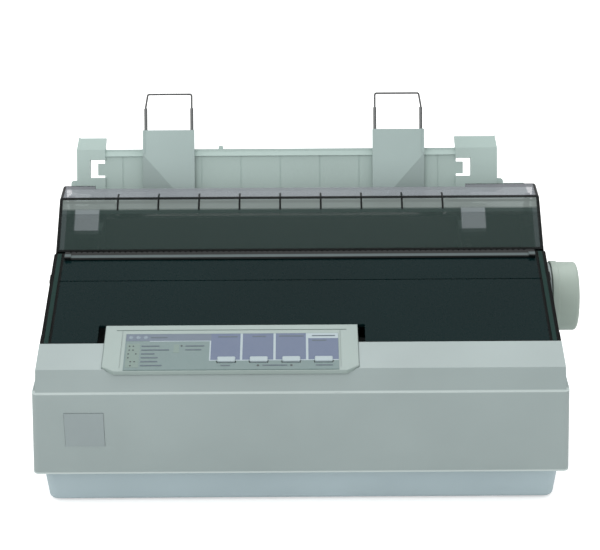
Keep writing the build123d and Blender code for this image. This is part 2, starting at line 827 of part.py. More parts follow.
def make_tear_bar():
    """Serrated bar along the rear edge of the front cover."""
    half = cover_width / 2 - tear_bar_margin
    bar = box(-half, half, cover_rear - tear_bar_depth, cover_rear, 0, tear_bar_thick)
    bar = chamfer(bar.edges().filter_by(Axis.X).group_by(Axis.Z)[-1].sort_by(Axis.Y)[0], 0.8)
    teeth = []
    pitch = 4.0
    count = int(2 * half / pitch) - 1
    for index in range(count):
        x = -half + pitch * (index + 1)
        notch = Polyline(
            (x - 1, cover_rear + 0.2, -1), (x + 1, cover_rear + 0.2, -1),
            (x, cover_rear - 1.2, -1), close=True,
        )
        teeth.append(extrude(make_face(notch), amount=tear_bar_thick + 2, dir=(0, 0, 1)))
    bar = bar - teeth
    for side in (-1, 1):
        low = side * (half - 4.6)
        bar += box(
            min(low, side * half), max(low, side * half),
            cover_rear - tear_bar_depth, cover_rear - 2.0, 0, tear_bar_thick + 0.9,
        )
    return sloped(bar)


def make_rear_flap():
    half = flap_width / 2
    top = [
        (flap_front_y, flap_front_z), (flap_crease_y, flap_crease_z), (flap_rear_y, flap_crease_z),
    ]
    low_gap = cover_gap
    foot_front = flap_front_y + cover_skirt * sin_s
    foot = [
        (flap_rear_y, wall_top(flap_rear_y) + low_gap + 0.6),
        (foot_front, wall_top(foot_front) + low_gap),
    ]
    shell = prism_x(top + foot, -half, half)
    long_edges = [
        edge for edge in shell.edges()
        if edge.bounding_box().size.X < 0.01 and edge.bounding_box().min.Z > flap_front_z - 0.1
        and edge.length > flap_top_run - 1
    ]
    shell = fillet(long_edges, flap_round)
    inner = half - flap_thick
    tilt = atan2(flap_rise, flap_slope_run)
    drop = flap_thick / cos(tilt)
    hollow = prism_x(
        [
            (flap_front_y - 6, flap_front_z - drop - 6 * tan(tilt)),
            (flap_crease_y + flap_thick * tan(tilt / 2), flap_crease_z - flap_thick),
            (flap_rear_y + 5, flap_crease_z - flap_thick),
            (flap_rear_y + 5, flap_front_z - 60), (flap_front_y - 6, flap_front_z - 60),
        ],
        -inner, inner,
    )
    shell -= hollow
    # The rear edge is cut forward along its middle.
    shell -= box(
        paper_centre - guide_panel_half - flap_notch_side,
        paper_centre + guide_panel_half + flap_notch_side,
        flap_rear_y - flap_notch, flap_rear_y + 1, flap_crease_z - 6, flap_crease_z + 1,
    )
    # A bead under the crease, and ribs across it.
    bead_y = flap_crease_y + flap_thick * tan(tilt / 2)
    shell += box(
        -inner - 0.5, inner + 0.5, bead_y - flap_bead / 2, bead_y + flap_bead / 2,
        flap_crease_z - flap_thick - flap_bead, flap_crease_z - flap_thick + 0.3,
    )
    for index in range(flap_rib_count):
        x = paper_centre + (index - (flap_rib_count - 1) / 2) * flap_rib_pitch
        run = flap_rib_run
        fall = run * tan(tilt)
        under = flap_crease_z - flap_thick + 0.2
        rib = prism_x(
            [
                (flap_crease_y - run, under - fall + 0.1),
                (flap_crease_y + flap_thick * tan(tilt / 2), under),
                (flap_crease_y + 0.6 * run, under),
                (flap_crease_y + 0.6 * run, under - 0.6),
                (flap_crease_y, under - flap_rib_depth),
                (flap_crease_y - run, under - fall - 0.9),
            ],
            x - flap_rib_thick / 2, x + flap_rib_thick / 2,
        )
        shell += rib
    for side in (-1, 1):
        skirt_inner = side * inner
        pin_end = side * (inner - pin_length)
        shell += rod_x(min(skirt_inner, pin_end), max(skirt_inner, pin_end), flap_hinge,
                       hinge_pin_radius)
    return shell


# ---------------------------------------------------------------- control panel
def button_x(index):
    return button_first + index * button_pitch


def panel_outline(gap, rear):
    """Outline of the panel up to a rear edge, with its front corners cut off."""
    x0, x1 = panel_left - gap, panel_right + gap
    front = -panel_lip - gap
    return [
        (x0, front + panel_corner_run), (x0 + panel_corner, front), (x1 - panel_corner, front),
        (x1, front + panel_corner_run), (x1, rear), (x0, rear),
    ]


def make_control_panel():
    frame = prism_z(panel_outline(0, panel_rear), -panel_seat, panel_raise)
    frame = fillet(frame.edges().group_by(Axis.Z)[-1], 0.8)
    # Walls of the part that stands over the open front of the case.
    wall_front = strip_length + 1.5
    wall = box(panel_left, panel_right, wall_front, panel_rear, -panel_skirt, -panel_seat)
    wall -= box(
        panel_left + panel_wall, panel_right - panel_wall, wall_front - 1,
        panel_rear - panel_wall, -panel_skirt - 1, -panel_seat + 1,
    )
    frame += wall
    for x in (panel_left + 8, panel_right - 8):
        for u in (7.0, panel_rear - 8):
            frame += rod_z(x, u, -board_drop, -panel_seat + 0.2, boss_radius)
    for index in range(button_count):
        frame -= box(
            button_x(index) - button_width / 2 - button_clear,
            button_x(index) + button_width / 2 + button_clear,
            button_back - button_depth / 2 - button_clear,
            button_back + button_depth / 2 + button_clear,
            -panel_seat - 1, panel_raise + 1,
        )
    # Grooves that frame the overlay.
    groove_rear = panel_rear - 5.2
    for x0, x1, u0 in (
        (panel_left + 8, panel_right - 8, groove_rear - panel_groove),
        (panel_left + 12, panel_left + 12 + panel_groove, 0.0),
        (panel_right - 12 - panel_groove, panel_right - 12, 0.0),
    ):
        frame -= box(x0, x1, u0, groove_rear, panel_raise - 0.5, panel_raise + 1)
    # Windows over the lamps.
    for index in range(lamp_count):
        frame -= rod_z(
            lamp_first + index * lamp_pitch, lamp_back, -panel_seat - 1, panel_raise + 1,
            lamp_radius + 0.2,
        )
    return sloped(frame)


def make_panel_overlay():
    left = overlay_centre - overlay_width / 2
    sheet = box(
        left, left + overlay_width, overlay_u[0], overlay_u[1], panel_raise,
        panel_raise + overlay_thick,
    )
    for index in range(button_count):
        sheet -= box(
            button_x(index) - button_width / 2 - 2 * button_clear,
            button_x(index) + button_width / 2 + 2 * button_clear,
            button_back - button_depth / 2 - 2 * button_clear,
            button_back + button_depth / 2 + 2 * button_clear,
            panel_raise - 1, panel_raise + 1,
        )
    return sloped(sheet)


def make_button(index):
    x = button_x(index)
    top = panel_raise + overlay_thick + button_proud
    cap = box(
        x - button_width / 2, x + button_width / 2, button_back - button_depth / 2,
        button_back + button_depth / 2, -panel_seat - 0.2, top,
    )
    cap = fillet(cap.edges().filter_by(Axis.Z), 1.0)
    cap = fillet(cap.edges().group_by(Axis.Z)[-1], 0.6)
    flange_top = -panel_seat - 0.15
    cap += box(
        x - button_width / 2 - button_flange, x + button_width / 2 + button_flange,
        button_back - button_depth / 2 - button_flange,
        button_back + button_depth / 2 + button_flange, flange_top - 1.0, flange_top,
    )
    stem_low = -board_drop + switch_top + button_travel + 0.2
    cap += box(x - 2, x + 2, button_back - 1.6, button_back + 1.6, stem_low, flange_top - 0.9)
    return sloped(cap)


def make_panel_board():
    board = box(
        panel_left + 4.6, panel_right - 4.6, 3.0, panel_rear - panel_wall - 1.0,
        -board_drop - board_thick, -board_drop,
    )
    for index in range(button_count):
        board += box(
            button_x(index) - 3, button_x(index) + 3, button_back - 3, button_back + 3,
            -board_drop, -board_drop + switch_top,
        )
    for index in range(lamp_count):
        board += rod_z(
            lamp_first + index * lamp_pitch, lamp_back, -board_drop, panel_raise - 0.2,
            lamp_radius,
        )
    return sloped(board)


# ---------------------------------------------------------------- gears
def gear_phase(phase, teeth, angle, next_teeth):
    """Angle of the next gear's first tooth, so that it meshes at the given direction."""
    share = (angle - phase) * teeth / 360
    return angle + 180 - (0.5 - share) * 360 / next_teeth


def gear(place, teeth, phase, x0, x1, bore):
    """Spur gear along X: straight-flanked teeth with backlash, first tooth at the phase."""
    pitch = pitch_radius(teeth)
    tip = pitch + 0.8 * gear_module
    root = pitch - 1.15 * gear_module
    half_tooth = 0.42 * pi * gear_module / 2
    points = []
    for index in range(teeth):
        turn = radians(phase + index * 360 / teeth)
        for radius, half_width in (
            (root, half_tooth * 1.55), (pitch, half_tooth), (tip, half_tooth * 0.45),
            (tip, -half_tooth * 0.45), (pitch, -half_tooth), (root, -half_tooth * 1.55),
        ):
            angle = turn - half_width / radius
            points.append(
                (place[0] + radius * cos(angle), place[1] + radius * sin(angle))
            )
    body = prism_x(points, x0, x1)
    return body - rod_x(x0 - 1, x1 + 1, place, bore)


platen_phase = 0.0
idler_front_phase = gear_phase(platen_phase, platen_teeth, idler_angle_front, idler_teeth)
idler_rear_phase = gear_phase(idler_front_phase, idler_teeth, train_angle, idler_teeth)
tractor_phase = gear_phase(idler_rear_phase, idler_teeth, tractor_angle, tractor_teeth)
small_phase = gear_phase(platen_phase, platen_teeth, reduction_angle, small_teeth)
large_phase = small_phase
pinion_phase = gear_phase(large_phase, large_teeth, pinion_angle, pinion_teeth)


def make_idler(place, phase):
    body = gear(place, idler_teeth, phase, gear_left, gear_right, stud_radius + bearing_clear)
    groove = rod_x(gear_right - 1.2, gear_right + 1, place, pitch_radius(idler_teeth) - 4)
    groove -= rod_x(gear_right - 2, gear_right + 2, place, stud_radius + 3.2)
    return body - groove


def make_reduction_gear():
    bore = stud_radius + bearing_clear
    small = gear(reduction_place, small_teeth, small_phase, gear_left, gear_right, bore)
    large = gear(
        reduction_place, large_teeth, large_phase, gear_right + 0.6, gear_right + 0.6 + gear_width,
        bore,
    )
    hub = rod_x(gear_right - 0.1, gear_right + 0.7, reduction_place, stud_radius + 2.6)
    hub -= rod_x(gear_right - 1, gear_right + 2, reduction_place, bore)
    return small + large + hub


def make_feed_pinion():
    return gear(
        pinion_place, pinion_teeth, pinion_phase, gear_right + 0.6, gear_right + 0.6 + gear_width,
        motor_shaft_radius + bearing_clear,
    )


def make_platen_gear():
    return gear(
        platen_place, platen_teeth, platen_phase, gear_left, gear_right, platen_shaft_radius
    )


# ---------------------------------------------------------------- platen and feed
def make_platen_roller():
    left = paper_centre - platen_length / 2
    roller = rod_x(left, left + platen_length, platen_place, platen_radius)
    return roller - rod_x(left - 1, left + platen_length + 1, platen_place, platen_shaft_radius)


def make_platen_shaft():
    left = plate_left - plate_thick - 6
    return rod_x(left, knob_end - 4.0, platen_place, platen_shaft_radius)


def make_platen_knob():
    knob = rod_x(knob_inner_x, knob_end, platen_place, knob_radius - knob_rim_proud)
    knob = fillet(knob.edges().sort_by(Axis.X)[-1], knob_round)
    rim = rod_x(knob_inner_x, knob_inner_x + knob_rim, platen_place, knob_radius)
    rim = fillet(rim.edges().filter_by(GeomType.CIRCLE), 0.7)
    knob += rim
    knob -= rod_x(knob_inner_x - 1, knob_end - 3.0, platen_place, knob_radius - 3.6)
    knob += rod_x(knob_inner_x + 1, knob_end - 1.5, platen_place, platen_shaft_radius + 3.0)
    return knob - rod_x(knob_inner_x - 5, knob_end - 4.0, platen_place, platen_shaft_radius)


def make_pinch_rollers():
    left = plate_left - plate_thick - 2
    right = plate_right + 1.0
    rollers = rod_x(left, right, pinch_place, pinch_shaft_radius)
    for index in range(pinch_count):
        x = paper_centre + (index - (pinch_count - 1) / 2) * pinch_pitch
        rollers += rod_x(x - pinch_width / 2, x + pinch_width / 2, pinch_place, pinch_radius)
    return rollers


def make_feed_motor():
    right = plate_right - 0.02
    motor = rod_x(right - motor_length, right, pinion_place, motor_radius)
    motor = fillet(motor.edges().filter_by(GeomType.CIRCLE), 1.5)
    tip = gear_right + 0.6 + gear_width + 1
    return motor + rod_x(right - 2, tip, pinion_place, motor_shaft_radius)


def make_paper_guide():
    """Bent sheet that leads the paper from the tractor down to the pinch rollers."""
    start = (tractor_place[0] - block_front - 1.6, tractor_place[1] + wheel_radius + 0.5)
    end = (platen_y + 12.0, platen_z - platen_radius - 9.0)
    bend = ((start[0] + end[0]) / 2 - 2.0, (start[1] + end[1]) / 2 - 5.0)
    thick = guide_sheet_thick
    outline = [
        start, bend, end, (end[0] + thick, end[1] - thick), (bend[0] + thick, bend[1] - thick),
        (start[0] + thick, start[1] - thick),
    ]
    sheet = prism_x(outline, plate_left, plate_right)
    tab = [
        (bend[0] + 0.5 * thick, bend[1] - 0.6 * thick), (bend[0] + 9, bend[1] - 0.6 * thick - 1),
        (bend[0] + 9, bend[1] - 11), (bend[0] + 6, bend[1] - 11),
    ]
    for x in (plate_left, plate_right - 3.0):
        sheet += prism_x(tab, x, x + 3.0)
    return sheet


# ---------------------------------------------------------------- frame
def make_side_plate(side):
    """Upright plate with bearings, a bent shelf and, at the right, the idler studs."""
    inner = paper_centre + side * plate_offset
    x0 = min(inner, inner + side * plate_thick)
    x1 = x0 + plate_thick
    foot_front = guide_pivot_y - bracket_front
    foot_rear = foot_front + bracket_foot
    outline = [
        (plate_front, plate_bottom), (plate_rear, plate_bottom), (plate_rear, plate_top - 16),
        (plate_rear - 10, plate_top - 4), (tractor_place[0] - 20, plate_top),
        (foot_rear, plate_top), (foot_rear, plate_top + bracket_foot_rise),
        (foot_front, plate_top + bracket_foot_rise), (foot_front, plate_top),
        (platen_y + 28, bearing_top - 2), (platen_y + 16, bearing_top),
        (platen_y - 10, bearing_top - 4), (plate_front + 8, rail_height + 16),
        (plate_front, rail_height + 4),
    ]
    plate = prism_x(outline, x0, x1)
    # Bent foot and the shelf for the motor or the idler pulley.
    foot_x = inner - side * plate_foot
    for y in (plate_front + 12, plate_rear - 12):
        plate += box(min(inner, foot_x), max(inner, foot_x), y - 7, y + 7,
                     plate_bottom, plate_bottom + plate_thick)
    reach = plate_offset - (pulley_offset_left if side < 0 else pulley_offset_right) + 12
    shelf_x = inner - side * reach
    plate += box(min(inner, shelf_x), max(inner, shelf_x), belt_y - 12, belt_y + 10,
                 shelf_height, shelf_height + shelf_thick)
    # Bearings, holes and studs.
    boss0 = x0 - (2.6 if side < 0 else 0)
    boss1 = x1 + (2.6 if side < 0 else 0)
    plate += rod_x(boss0, boss1, platen_place, platen_shaft_radius + 3)
    plate += rod_x(boss0, boss1, tractor_place, tractor_shaft_radius + 3)
    plate -= rod_x(x0 - 5, x1 + 5, platen_place, platen_shaft_radius + bearing_clear)
    plate -= rod_x(x0 - 5, x1 + 5, tractor_place, tractor_shaft_radius + bearing_clear)
    plate -= rod_x(x0 - 5, x1 + 5, pinch_place, pinch_shaft_radius + bearing_clear)
    plate -= rod_x(x0 - 5, x1 + 5, (shaft_y, shaft_z), shaft_radius)
    plate -= rod_x(x0 - 5, x1 + 5, tractor_bar_place, tractor_bar_radius)
    pulley_x = pulley_x_left if side < 0 else pulley_x_right
    if side < 0:
        plate -= rod_z(pulley_x, belt_y, shelf_height - 1, shelf_height + 5,
                       motor_shaft_radius + 0.4)
        plate += rod_x(x0 - 3.6, x0 + 1, release_place, release_stud)
    else:
        plate += rod_z(pulley_x, belt_y, shelf_height + 1, pulley_top + 1.6,
                       motor_shaft_radius)
        for place, length in (
            (idler_front_place, stud_length), (idler_rear_place, stud_length),
            (reduction_place, stud_length + gear_width),
        ):
            plate += rod_x(x0 + 1, x1 + length, place, stud_radius)
            plate += rod_x(x0 + 1, gear_left - 0.3, place, stud_radius + 1.6)
        plate -= rod_x(x0 - 1, x1 + 1, pinion_place, motor_shaft_radius + 2)
    return plate


def make_carriage_shaft():
    rod = rod_x(plate_left - plate_thick - 4, plate_right + plate_thick + 4,
                (shaft_y, shaft_z), shaft_radius)
    for x in (plate_left - plate_thick - 1.6, plate_right + plate_thick + 0.6):
        rod -= rod_x(x, x + 1.0, (shaft_y, shaft_z), shaft_radius + 1) - rod_x(
            x - 1, x + 2, (shaft_y, shaft_z), shaft_radius - 0.7)
    return rod


def make_carriage_rail():
    """Bent rail that the front of the carriage rides on."""
    outline = [
        (rail_y - 4, rail_height - 14), (rail_y - 2.6, rail_height - 14),
        (rail_y - 2.6, rail_height - 1.4), (rail_y + 6, rail_height - 1.4),
        (rail_y + 6, rail_height), (rail_y - 4, rail_height),
    ]
    return prism_x(outline, plate_left, plate_right)


# ---------------------------------------------------------------- carriage
def make_carriage():
    x0 = paper_centre - carriage_width / 2
    x1 = paper_centre + carriage_width / 2
    body = box(x0, x1, carriage_front + 6, carriage_rear, carriage_bottom, carriage_top)
    body = fillet(body.edges().filter_by(Axis.Z), 2.0)
    body += box(x0 + 3, x1 - 3, carriage_front - 4, carriage_front + 7,
                rail_height + 0.3, rail_height + 5)
    body += rod_x(x0, x1, (shaft_y, shaft_z), shaft_radius + 4)
    body -= rod_x(x0 - 1, x1 + 1, (shaft_y, shaft_z), shaft_radius + 0.05)
    # Jaw behind the rear strand of the belt.
    strand_y = belt_y + pulley_radius + belt_thick + 0.3
    body += box(paper_centre - jaw_half, paper_centre + jaw_half, strand_y, strand_y + 3,
                belt_z - belt_height / 2, carriage_bottom + 1)
    # Cradle for the head.
    body += box(x0 + 2, x0 + 4.4, carriage_rear - 28, carriage_rear - 6, carriage_top - 1,
                head_low + 8)
    body += box(x1 - 4.4, x1 - 2, carriage_rear - 28, carriage_rear - 6, carriage_top - 1,
                head_low + 8)
    return body


def make_print_head():
    x0 = paper_centre - head_width / 2
    x1 = paper_centre + head_width / 2
    head = box(x0, x1, carriage_rear - 26, carriage_rear - 4, head_low, head_high)
    head = fillet(head.edges().filter_by(Axis.Z), 1.5)
    nose_low = platen_z - nose_height / 2
    nose = loft([
        Pos(paper_centre, carriage_rear - 4.5, platen_z) * Rot(90, 0, 0)
        * Rectangle(nose_width + 8, nose_height + 4),
        Pos(paper_centre, nose_tip, platen_z) * Rot(90, 0, 0)
        * Rectangle(nose_width, nose_height),
    ])
    pins = box(paper_centre - 1.0, paper_centre + 1.0, nose_tip - 1, nose_tip + 0.1,
               nose_low + 1.0, nose_low + nose_height - 1.0)
    return head + nose + pins


def make_heat_sink():
    """Finned block in front of the head."""
    x0 = paper_centre - head_width / 2
    x1 = paper_centre + head_width / 2
    rear = carriage_rear - 26
    front = rear - 10
    sink = box(x0, x1, rear - 2.5, rear, head_low + 1, head_high + 1)
    count = 7
    for index in range(count):
        x = x0 + 0.8 + index * (head_width - 1.6) / (count - 1)
        sink += box(x - 0.7, x + 0.7, front, rear - 2, head_low + 1, head_high + 1)
    return sink


def pulley(x):
    rim = rod_z(x, belt_y, pulley_low, pulley_top, pulley_radius - pulley_clear)
    for z in (pulley_low, pulley_top - pulley_flange):
        rim += rod_z(x, belt_y, z, z + pulley_flange, pulley_radius + 2.4)
    return rim


def make_drive_pulley():
    bore = rod_z(pulley_x_left, belt_y, pulley_low - 1, pulley_top + 1,
                 motor_shaft_radius + bearing_clear)
    return pulley(pulley_x_left) - bore


def make_idler_pulley():
    bore = rod_z(pulley_x_right, belt_y, pulley_low - 1, pulley_top + 1,
                 motor_shaft_radius + bearing_clear)
    return pulley(pulley_x_right) - bore


def make_drive_belt():
    def loop(radius):
        middle = box(pulley_x_left, pulley_x_right, belt_y - radius, belt_y + radius,
                     belt_z - belt_height / 2, belt_z + belt_height / 2)
        for x in (pulley_x_left, pulley_x_right):
            middle += rod_z(x, belt_y, belt_z - belt_height / 2, belt_z + belt_height / 2,
                            radius)
        return middle
    return loop(pulley_radius + belt_thick) - loop(pulley_radius)


def make_carriage_motor():
    top = shelf_height
    motor = rod_z(pulley_x_left, belt_y, top - carriage_motor_height, top,
                  carriage_motor_radius)
    motor = fillet(motor.edges().filter_by(GeomType.CIRCLE), 1.5)
    return motor + rod_z(pulley_x_left, belt_y, top - 1, pulley_top + 1.0, motor_shaft_radius)


# ---------------------------------------------------------------- ribbon
def make_ribbon_cartridge():
    top = cartridge_bottom + cartridge_height
    rear = cartridge_front + cartridge_depth
    outer = cartridge_arm_inner + cartridge_arm_width
    body = box(paper_centre - outer, paper_centre + outer, cartridge_front, rear,
               cartridge_bottom, top)
    for side in (-1, 1):
        x_inner = paper_centre + side * cartridge_arm_inner
        x_outer = paper_centre + side * outer
        tip = paper_centre + side * (cartridge_arm_inner + 2)
        arm = [
            (x_inner, rear - 1), (x_outer, rear - 1), (x_outer, cartridge_arm_rear - 8),
            (tip, cartridge_arm_rear), (x_inner, cartridge_arm_rear),
        ]
        body += prism_z(arm, cartridge_bottom, top)
    body = chamfer(body.edges().group_by(Axis.Z)[-1], 0.8)
    ribbon_rear = platen_y - platen_radius - ribbon_gap
    ribbon = box(
        paper_centre - cartridge_arm_inner - 3, paper_centre + cartridge_arm_inner + 3,
        ribbon_rear - ribbon_thick, ribbon_rear, platen_z - ribbon_height / 2,
        platen_z + ribbon_height / 2,
    )
    for side in (-1, 1):
        x = paper_centre + side * (cartridge_arm_inner + 1.5)
        body += box(x - 1.5, x + 1.5, cartridge_arm_rear - 2, ribbon_rear,
                    platen_z - ribbon_height / 2, platen_z + ribbon_height / 2)
    knob_x = paper_centre + ribbon_knob_offset
    knob_y = cartridge_front + cartridge_depth / 2
    body -= rod_z(knob_x, knob_y, top - 4, top + 1, 2.1)
    # Feet of the cartridge on the carriage rail's front edge and the side plates.
    for side in (-1, 1):
        x = paper_centre + side * (plate_offset - 3.0)
        body += box(x - 1.2, x + 1.2, rail_y - 3.8, rail_y - 1.0, rail_height,
                    cartridge_bottom + 1)
    return body + ribbon


def make_ribbon_knob():
    x = paper_centre + ribbon_knob_offset
    y = cartridge_front + cartridge_depth / 2
    top = cartridge_bottom + cartridge_height
    knob = rod_z(x, y, top + 0.3, top + 0.3 + ribbon_knob_height, ribbon_knob_radius)
    for index in range(12):
        turn = radians(index * 30)
        knob -= rod_z(
            x + (ribbon_knob_radius + 0.6) * cos(turn), y + (ribbon_knob_radius + 0.6) * sin(turn),
            top, top + ribbon_knob_height + 1, 1.2,
        )
    return knob + rod_z(x, y, top - 3.6, top + 0.4, 2.0)


# ---------------------------------------------------------------- tractor
def make_tractor_shaft():
    left = plate_left - plate_thick - 3
    shaft = rod_x(left, gear_right + 1, tractor_place, tractor_shaft_radius)
    for side in (-1, 1):
        x = paper_centre + side * block_offset
        shaft += rod_x(x - wheel_width / 2, x + wheel_width / 2, tractor_place, wheel_radius)
        for index in range(wheel_pin_count):
            angle = 90 + index * 360 / wheel_pin_count
            pin = Pos(0, 0, wheel_radius + pin_height / 2 - 0.5) * Cone(
                pin_radius, pin_radius * 0.55, pin_height + 1
            )
            pin = Rot(angle - 90, 0, 0) * pin
            shaft += Pos(x, tractor_place[0], tractor_place[1]) * pin
    wheel = gear(
        tractor_place, tractor_teeth, tractor_phase, gear_left, gear_right,
        tractor_shaft_radius - 0.5,
    )
    return shaft + wheel


def make_tractor_bar():
    return rod_x(plate_left - plate_thick - 0.8, plate_right + plate_thick + 0.8,
                 tractor_bar_place, tractor_bar_radius)


def block_top():
    return tractor_place[1] + wheel_radius - 1.0


def lid_hinge(side):
    """X and Z of a lid's hinge, at the outer side of its block."""
    x = paper_centre + side * (block_offset + wheel_width / 2 + block_gap + block_wall + 2.0)
    return (x, block_top() + 1.0)


def make_tractor_block(side):
    y, z = tractor_place
    x = paper_centre + side * block_offset
    half = wheel_width / 2 + block_gap + block_wall
    body = box(x - half, x + half, y - block_front, y + block_rear, z - block_bottom,
               block_top())
    inner = wheel_width / 2 + block_gap
    body -= box(x - inner, x + inner, y - wheel_radius - pin_height - 1.0,
                y + wheel_radius + pin_height + 1.0, z - block_bottom - 1, block_top() + 1)
    body -= rod_x(x - half - 1, x + half + 1, tractor_place, tractor_shaft_radius + 0.2)
    body -= rod_x(x - half - 1, x + half + 1, tractor_bar_place, tractor_bar_radius)
    # Two ears that carry the lid's pin.
    hinge_x, hinge_z = lid_hinge(side)
    for y0 in (y - block_front + 2, y + block_rear - 6):
        ear = rod_y(hinge_x, hinge_z, y0, y0 + 4, lid_hinge_radius)
        ear += box(min(x + side * half, hinge_x), max(x + side * half, hinge_x), y0, y0 + 4,
                   hinge_z - lid_hinge_radius - 3, hinge_z)
        body += ear
        body -= rod_y(hinge_x, hinge_z, y0 - 1, y0 + 5, lid_pin_radius + bearing_clear)
    return body


def make_tractor_lid(side):
    y = tractor_place[0]
    hinge_x, hinge_z = lid_hinge(side)
    x_far = hinge_x - side * lid_width
    low = block_top() + lid_gap + 2.6
    lid = box(min(hinge_x, x_far), max(hinge_x, x_far), y - block_front + 7,
              y + block_rear - 7, low, low + lid_thick)
    knuckle = rod_y(hinge_x, hinge_z, y - block_front + 7, y + block_rear - 7,
                    lid_hinge_radius)
    web = box(hinge_x - 1.2, hinge_x + 1.2, y - block_front + 7, y + block_rear - 7,
              hinge_z, low + 0.5)
    pin = rod_y(hinge_x, hinge_z, y - block_front + 2, y + block_rear - 2, lid_pin_radius)
    # Slot over the feed pins.
    x = paper_centre + side * block_offset
    slot = box(x - 2.6, x + 2.6, y - 9.5, y + 9.5, low - 1, low + lid_thick + 1)
    return lid + knuckle + web + pin - slot


# ---------------------------------------------------------------- sheet guide
def leaning(shape):
    """Carry a shape from upright guide coordinates (x, n, s) to its leaning place."""
    return Pos(0, guide_pivot_y, guide_pivot_z) * Rot(-guide_lean, 0, 0) * shape


def make_guide_unit(side, width):
    """End unit of the sheet guide: a block with a window, an ear and a bent-back top."""
    inner = paper_centre + side * guide_panel_half
    outer = inner + side * width
    root = inner - side * unit_root
    bend = unit_height - unit_bend
    face = [
        (root, unit_bottom), (outer, unit_bottom), (outer, bend),
        (outer - side * 1.6, unit_height + unit_spike), (outer - side * 2.6, unit_height),
        (inner - side * unit_overhang, unit_height), (root, bend),
    ]
    outline = Polyline(*[(x, -unit_front, s) for x, s in face], close=True)
    unit = extrude(make_face(outline), amount=unit_thick, dir=(0, 1, 0))
    ends = sorted((inner - side * 5, outer + side * 5))
    unit -= prism_x(
        [
            (-unit_front - 1, bend), (-unit_front, bend),
            (-unit_front + unit_bend_depth, unit_height + 1), (-unit_front - 1, unit_height + 1),
        ],
        *ends,
    )
    window = sorted((root, inner + side * unit_window_width))
    unit -= box(
        *window, -unit_front - 1, unit_thick, unit_window_low,
        unit_window_low + unit_window_height,
    )
    tab = sorted((inner - side * 1.5, inner + side * unit_tab_width))
    tab_low = unit_window_low + unit_tab_low
    unit += box(*tab, 0, guide_thick, tab_low, tab_low + unit_tab_height)
    ear_ends = sorted((outer - side * 1.0, outer + side * ear_reach))
    ear = box(*ear_ends, -1.0, 4.0, ear_low, ear_low + ear_height)
    tips = ear.edges().filter_by(Axis.Y).sort_by(Axis.X)
    ear = fillet(tips[-2:] if side > 0 else tips[:2], ear_round)
    return unit + ear


def make_sheet_guide():
    left = paper_centre - guide_panel_half
    right = paper_centre + guide_panel_half
    rim_low = guide_height - guide_rim
    guide = box(left, right, 0, guide_thick, guide_low, guide_height)
    guide += prism_x(
        [
            (-guide_rim_proud, rim_low), (guide_thick, rim_low), (guide_thick, guide_height),
            (guide_rim_lean - guide_rim_proud, guide_height),
        ],
        left, right,
    )
    count = int(guide_panel_half / guide_rib_pitch)
    for index in range(-count, count + 1):
        x = paper_centre + index * guide_rib_pitch
        guide += box(x - guide_rib_width / 2, x + guide_rib_width / 2, guide_thick - 0.1,
                     guide_thick + guide_rib_depth, 1, guide_height - 1)
        guide -= box(x - guide_seam_width / 2, x + guide_seam_width / 2, -1,
                     guide_seam_depth, guide_low - 1, rim_low)
    for side, width in ((-1, unit_left_width), (1, unit_right_width)):
        guide += make_guide_unit(side, width)
        # Lug and pin that turn in the bracket.
        lug = beside(side, lug_inner, eye_inner - 0.4)
        guide += rod_x(*lug, (0, 0), eye_radius - 1)
        guide += box(*lug, -1.8, 4.4, 0, unit_bottom + 1)
        guide += rod_x(*beside(side, eye_inner - 0.4, eye_outer - 1.0), (0, 0),
                       guide_pivot_radius)
        guide += box(*beside(side, guide_panel_half - 1, lug_inner), 0, guide_thick,
                     0, unit_bottom + 1)
    bump_x = paper_centre - guide_bump_offset
    outline = Polyline(
        (bump_x - 2.2, 0.8, guide_height - 1), (bump_x + 2.2, 0.8, guide_height - 1),
        (bump_x + 1.5, 0.8, guide_height + guide_bump),
        (bump_x - 1.5, 0.8, guide_height + guide_bump),
        close=True,
    )
    guide += extrude(make_face(outline), amount=guide_thick - 0.8, dir=(0, 1, 0))
    return leaning(guide)


def make_guide_brackets():
    """Two arms on the side plates with the eyes that the sheet guide turns in."""
    brackets = []
    pivot = (guide_pivot_y, guide_pivot_z)
    front = guide_pivot_y - bracket_front
    foot_rear = front + bracket_foot
    block_y = guide_pivot_y - bracket_block_front
    low = plate_top + bracket_foot_rise
    for side in (-1, 1):
        ends = beside(side, eye_inner, eye_outer)
        arm = box(*beside(side, plate_offset - 1.6, eye_outer), front, foot_rear, low,
                  low + bracket_foot_thick)
        arm += prism_x(
            [
                (front, low), (foot_rear, low),
                (guide_pivot_y + 3.0, guide_pivot_z - 0.8 * eye_radius),
                (guide_pivot_y - 2.0, guide_pivot_z + 0.9 * eye_radius),
                (front + 6, guide_pivot_z - 2), (front, guide_pivot_z - 2),
            ],
            *ends,
        )
        arm += box(*beside(side, bracket_block_near, bracket_block_far), block_y,
                   block_y + bracket_block_depth, low, deck_height + bracket_block_top)
        arm += rod_x(*ends, pivot, eye_radius)
        arm -= rod_x(ends[0] - 1, ends[1] + 1, pivot, guide_pivot_radius + bearing_clear)
        brackets.append(arm)
    return brackets


def edge_guide_edges(side):
    """Outer and inner X of an edge guide."""
    outer = paper_centre + side * (edge_guide_left if side < 0 else edge_guide_right)
    return outer, outer - side * edge_guide_width


def wire_legs(side):
    outer, inner = edge_guide_edges(side)
    first = outer - side * wire_inset
    return first, first - side * wire_pitch


def wire_plane():
    """Distance of the wires from the panel's face, in the middle of the guide's plate."""
    return -guide_rim_proud - edge_guide_gap - edge_guide_thick / 2


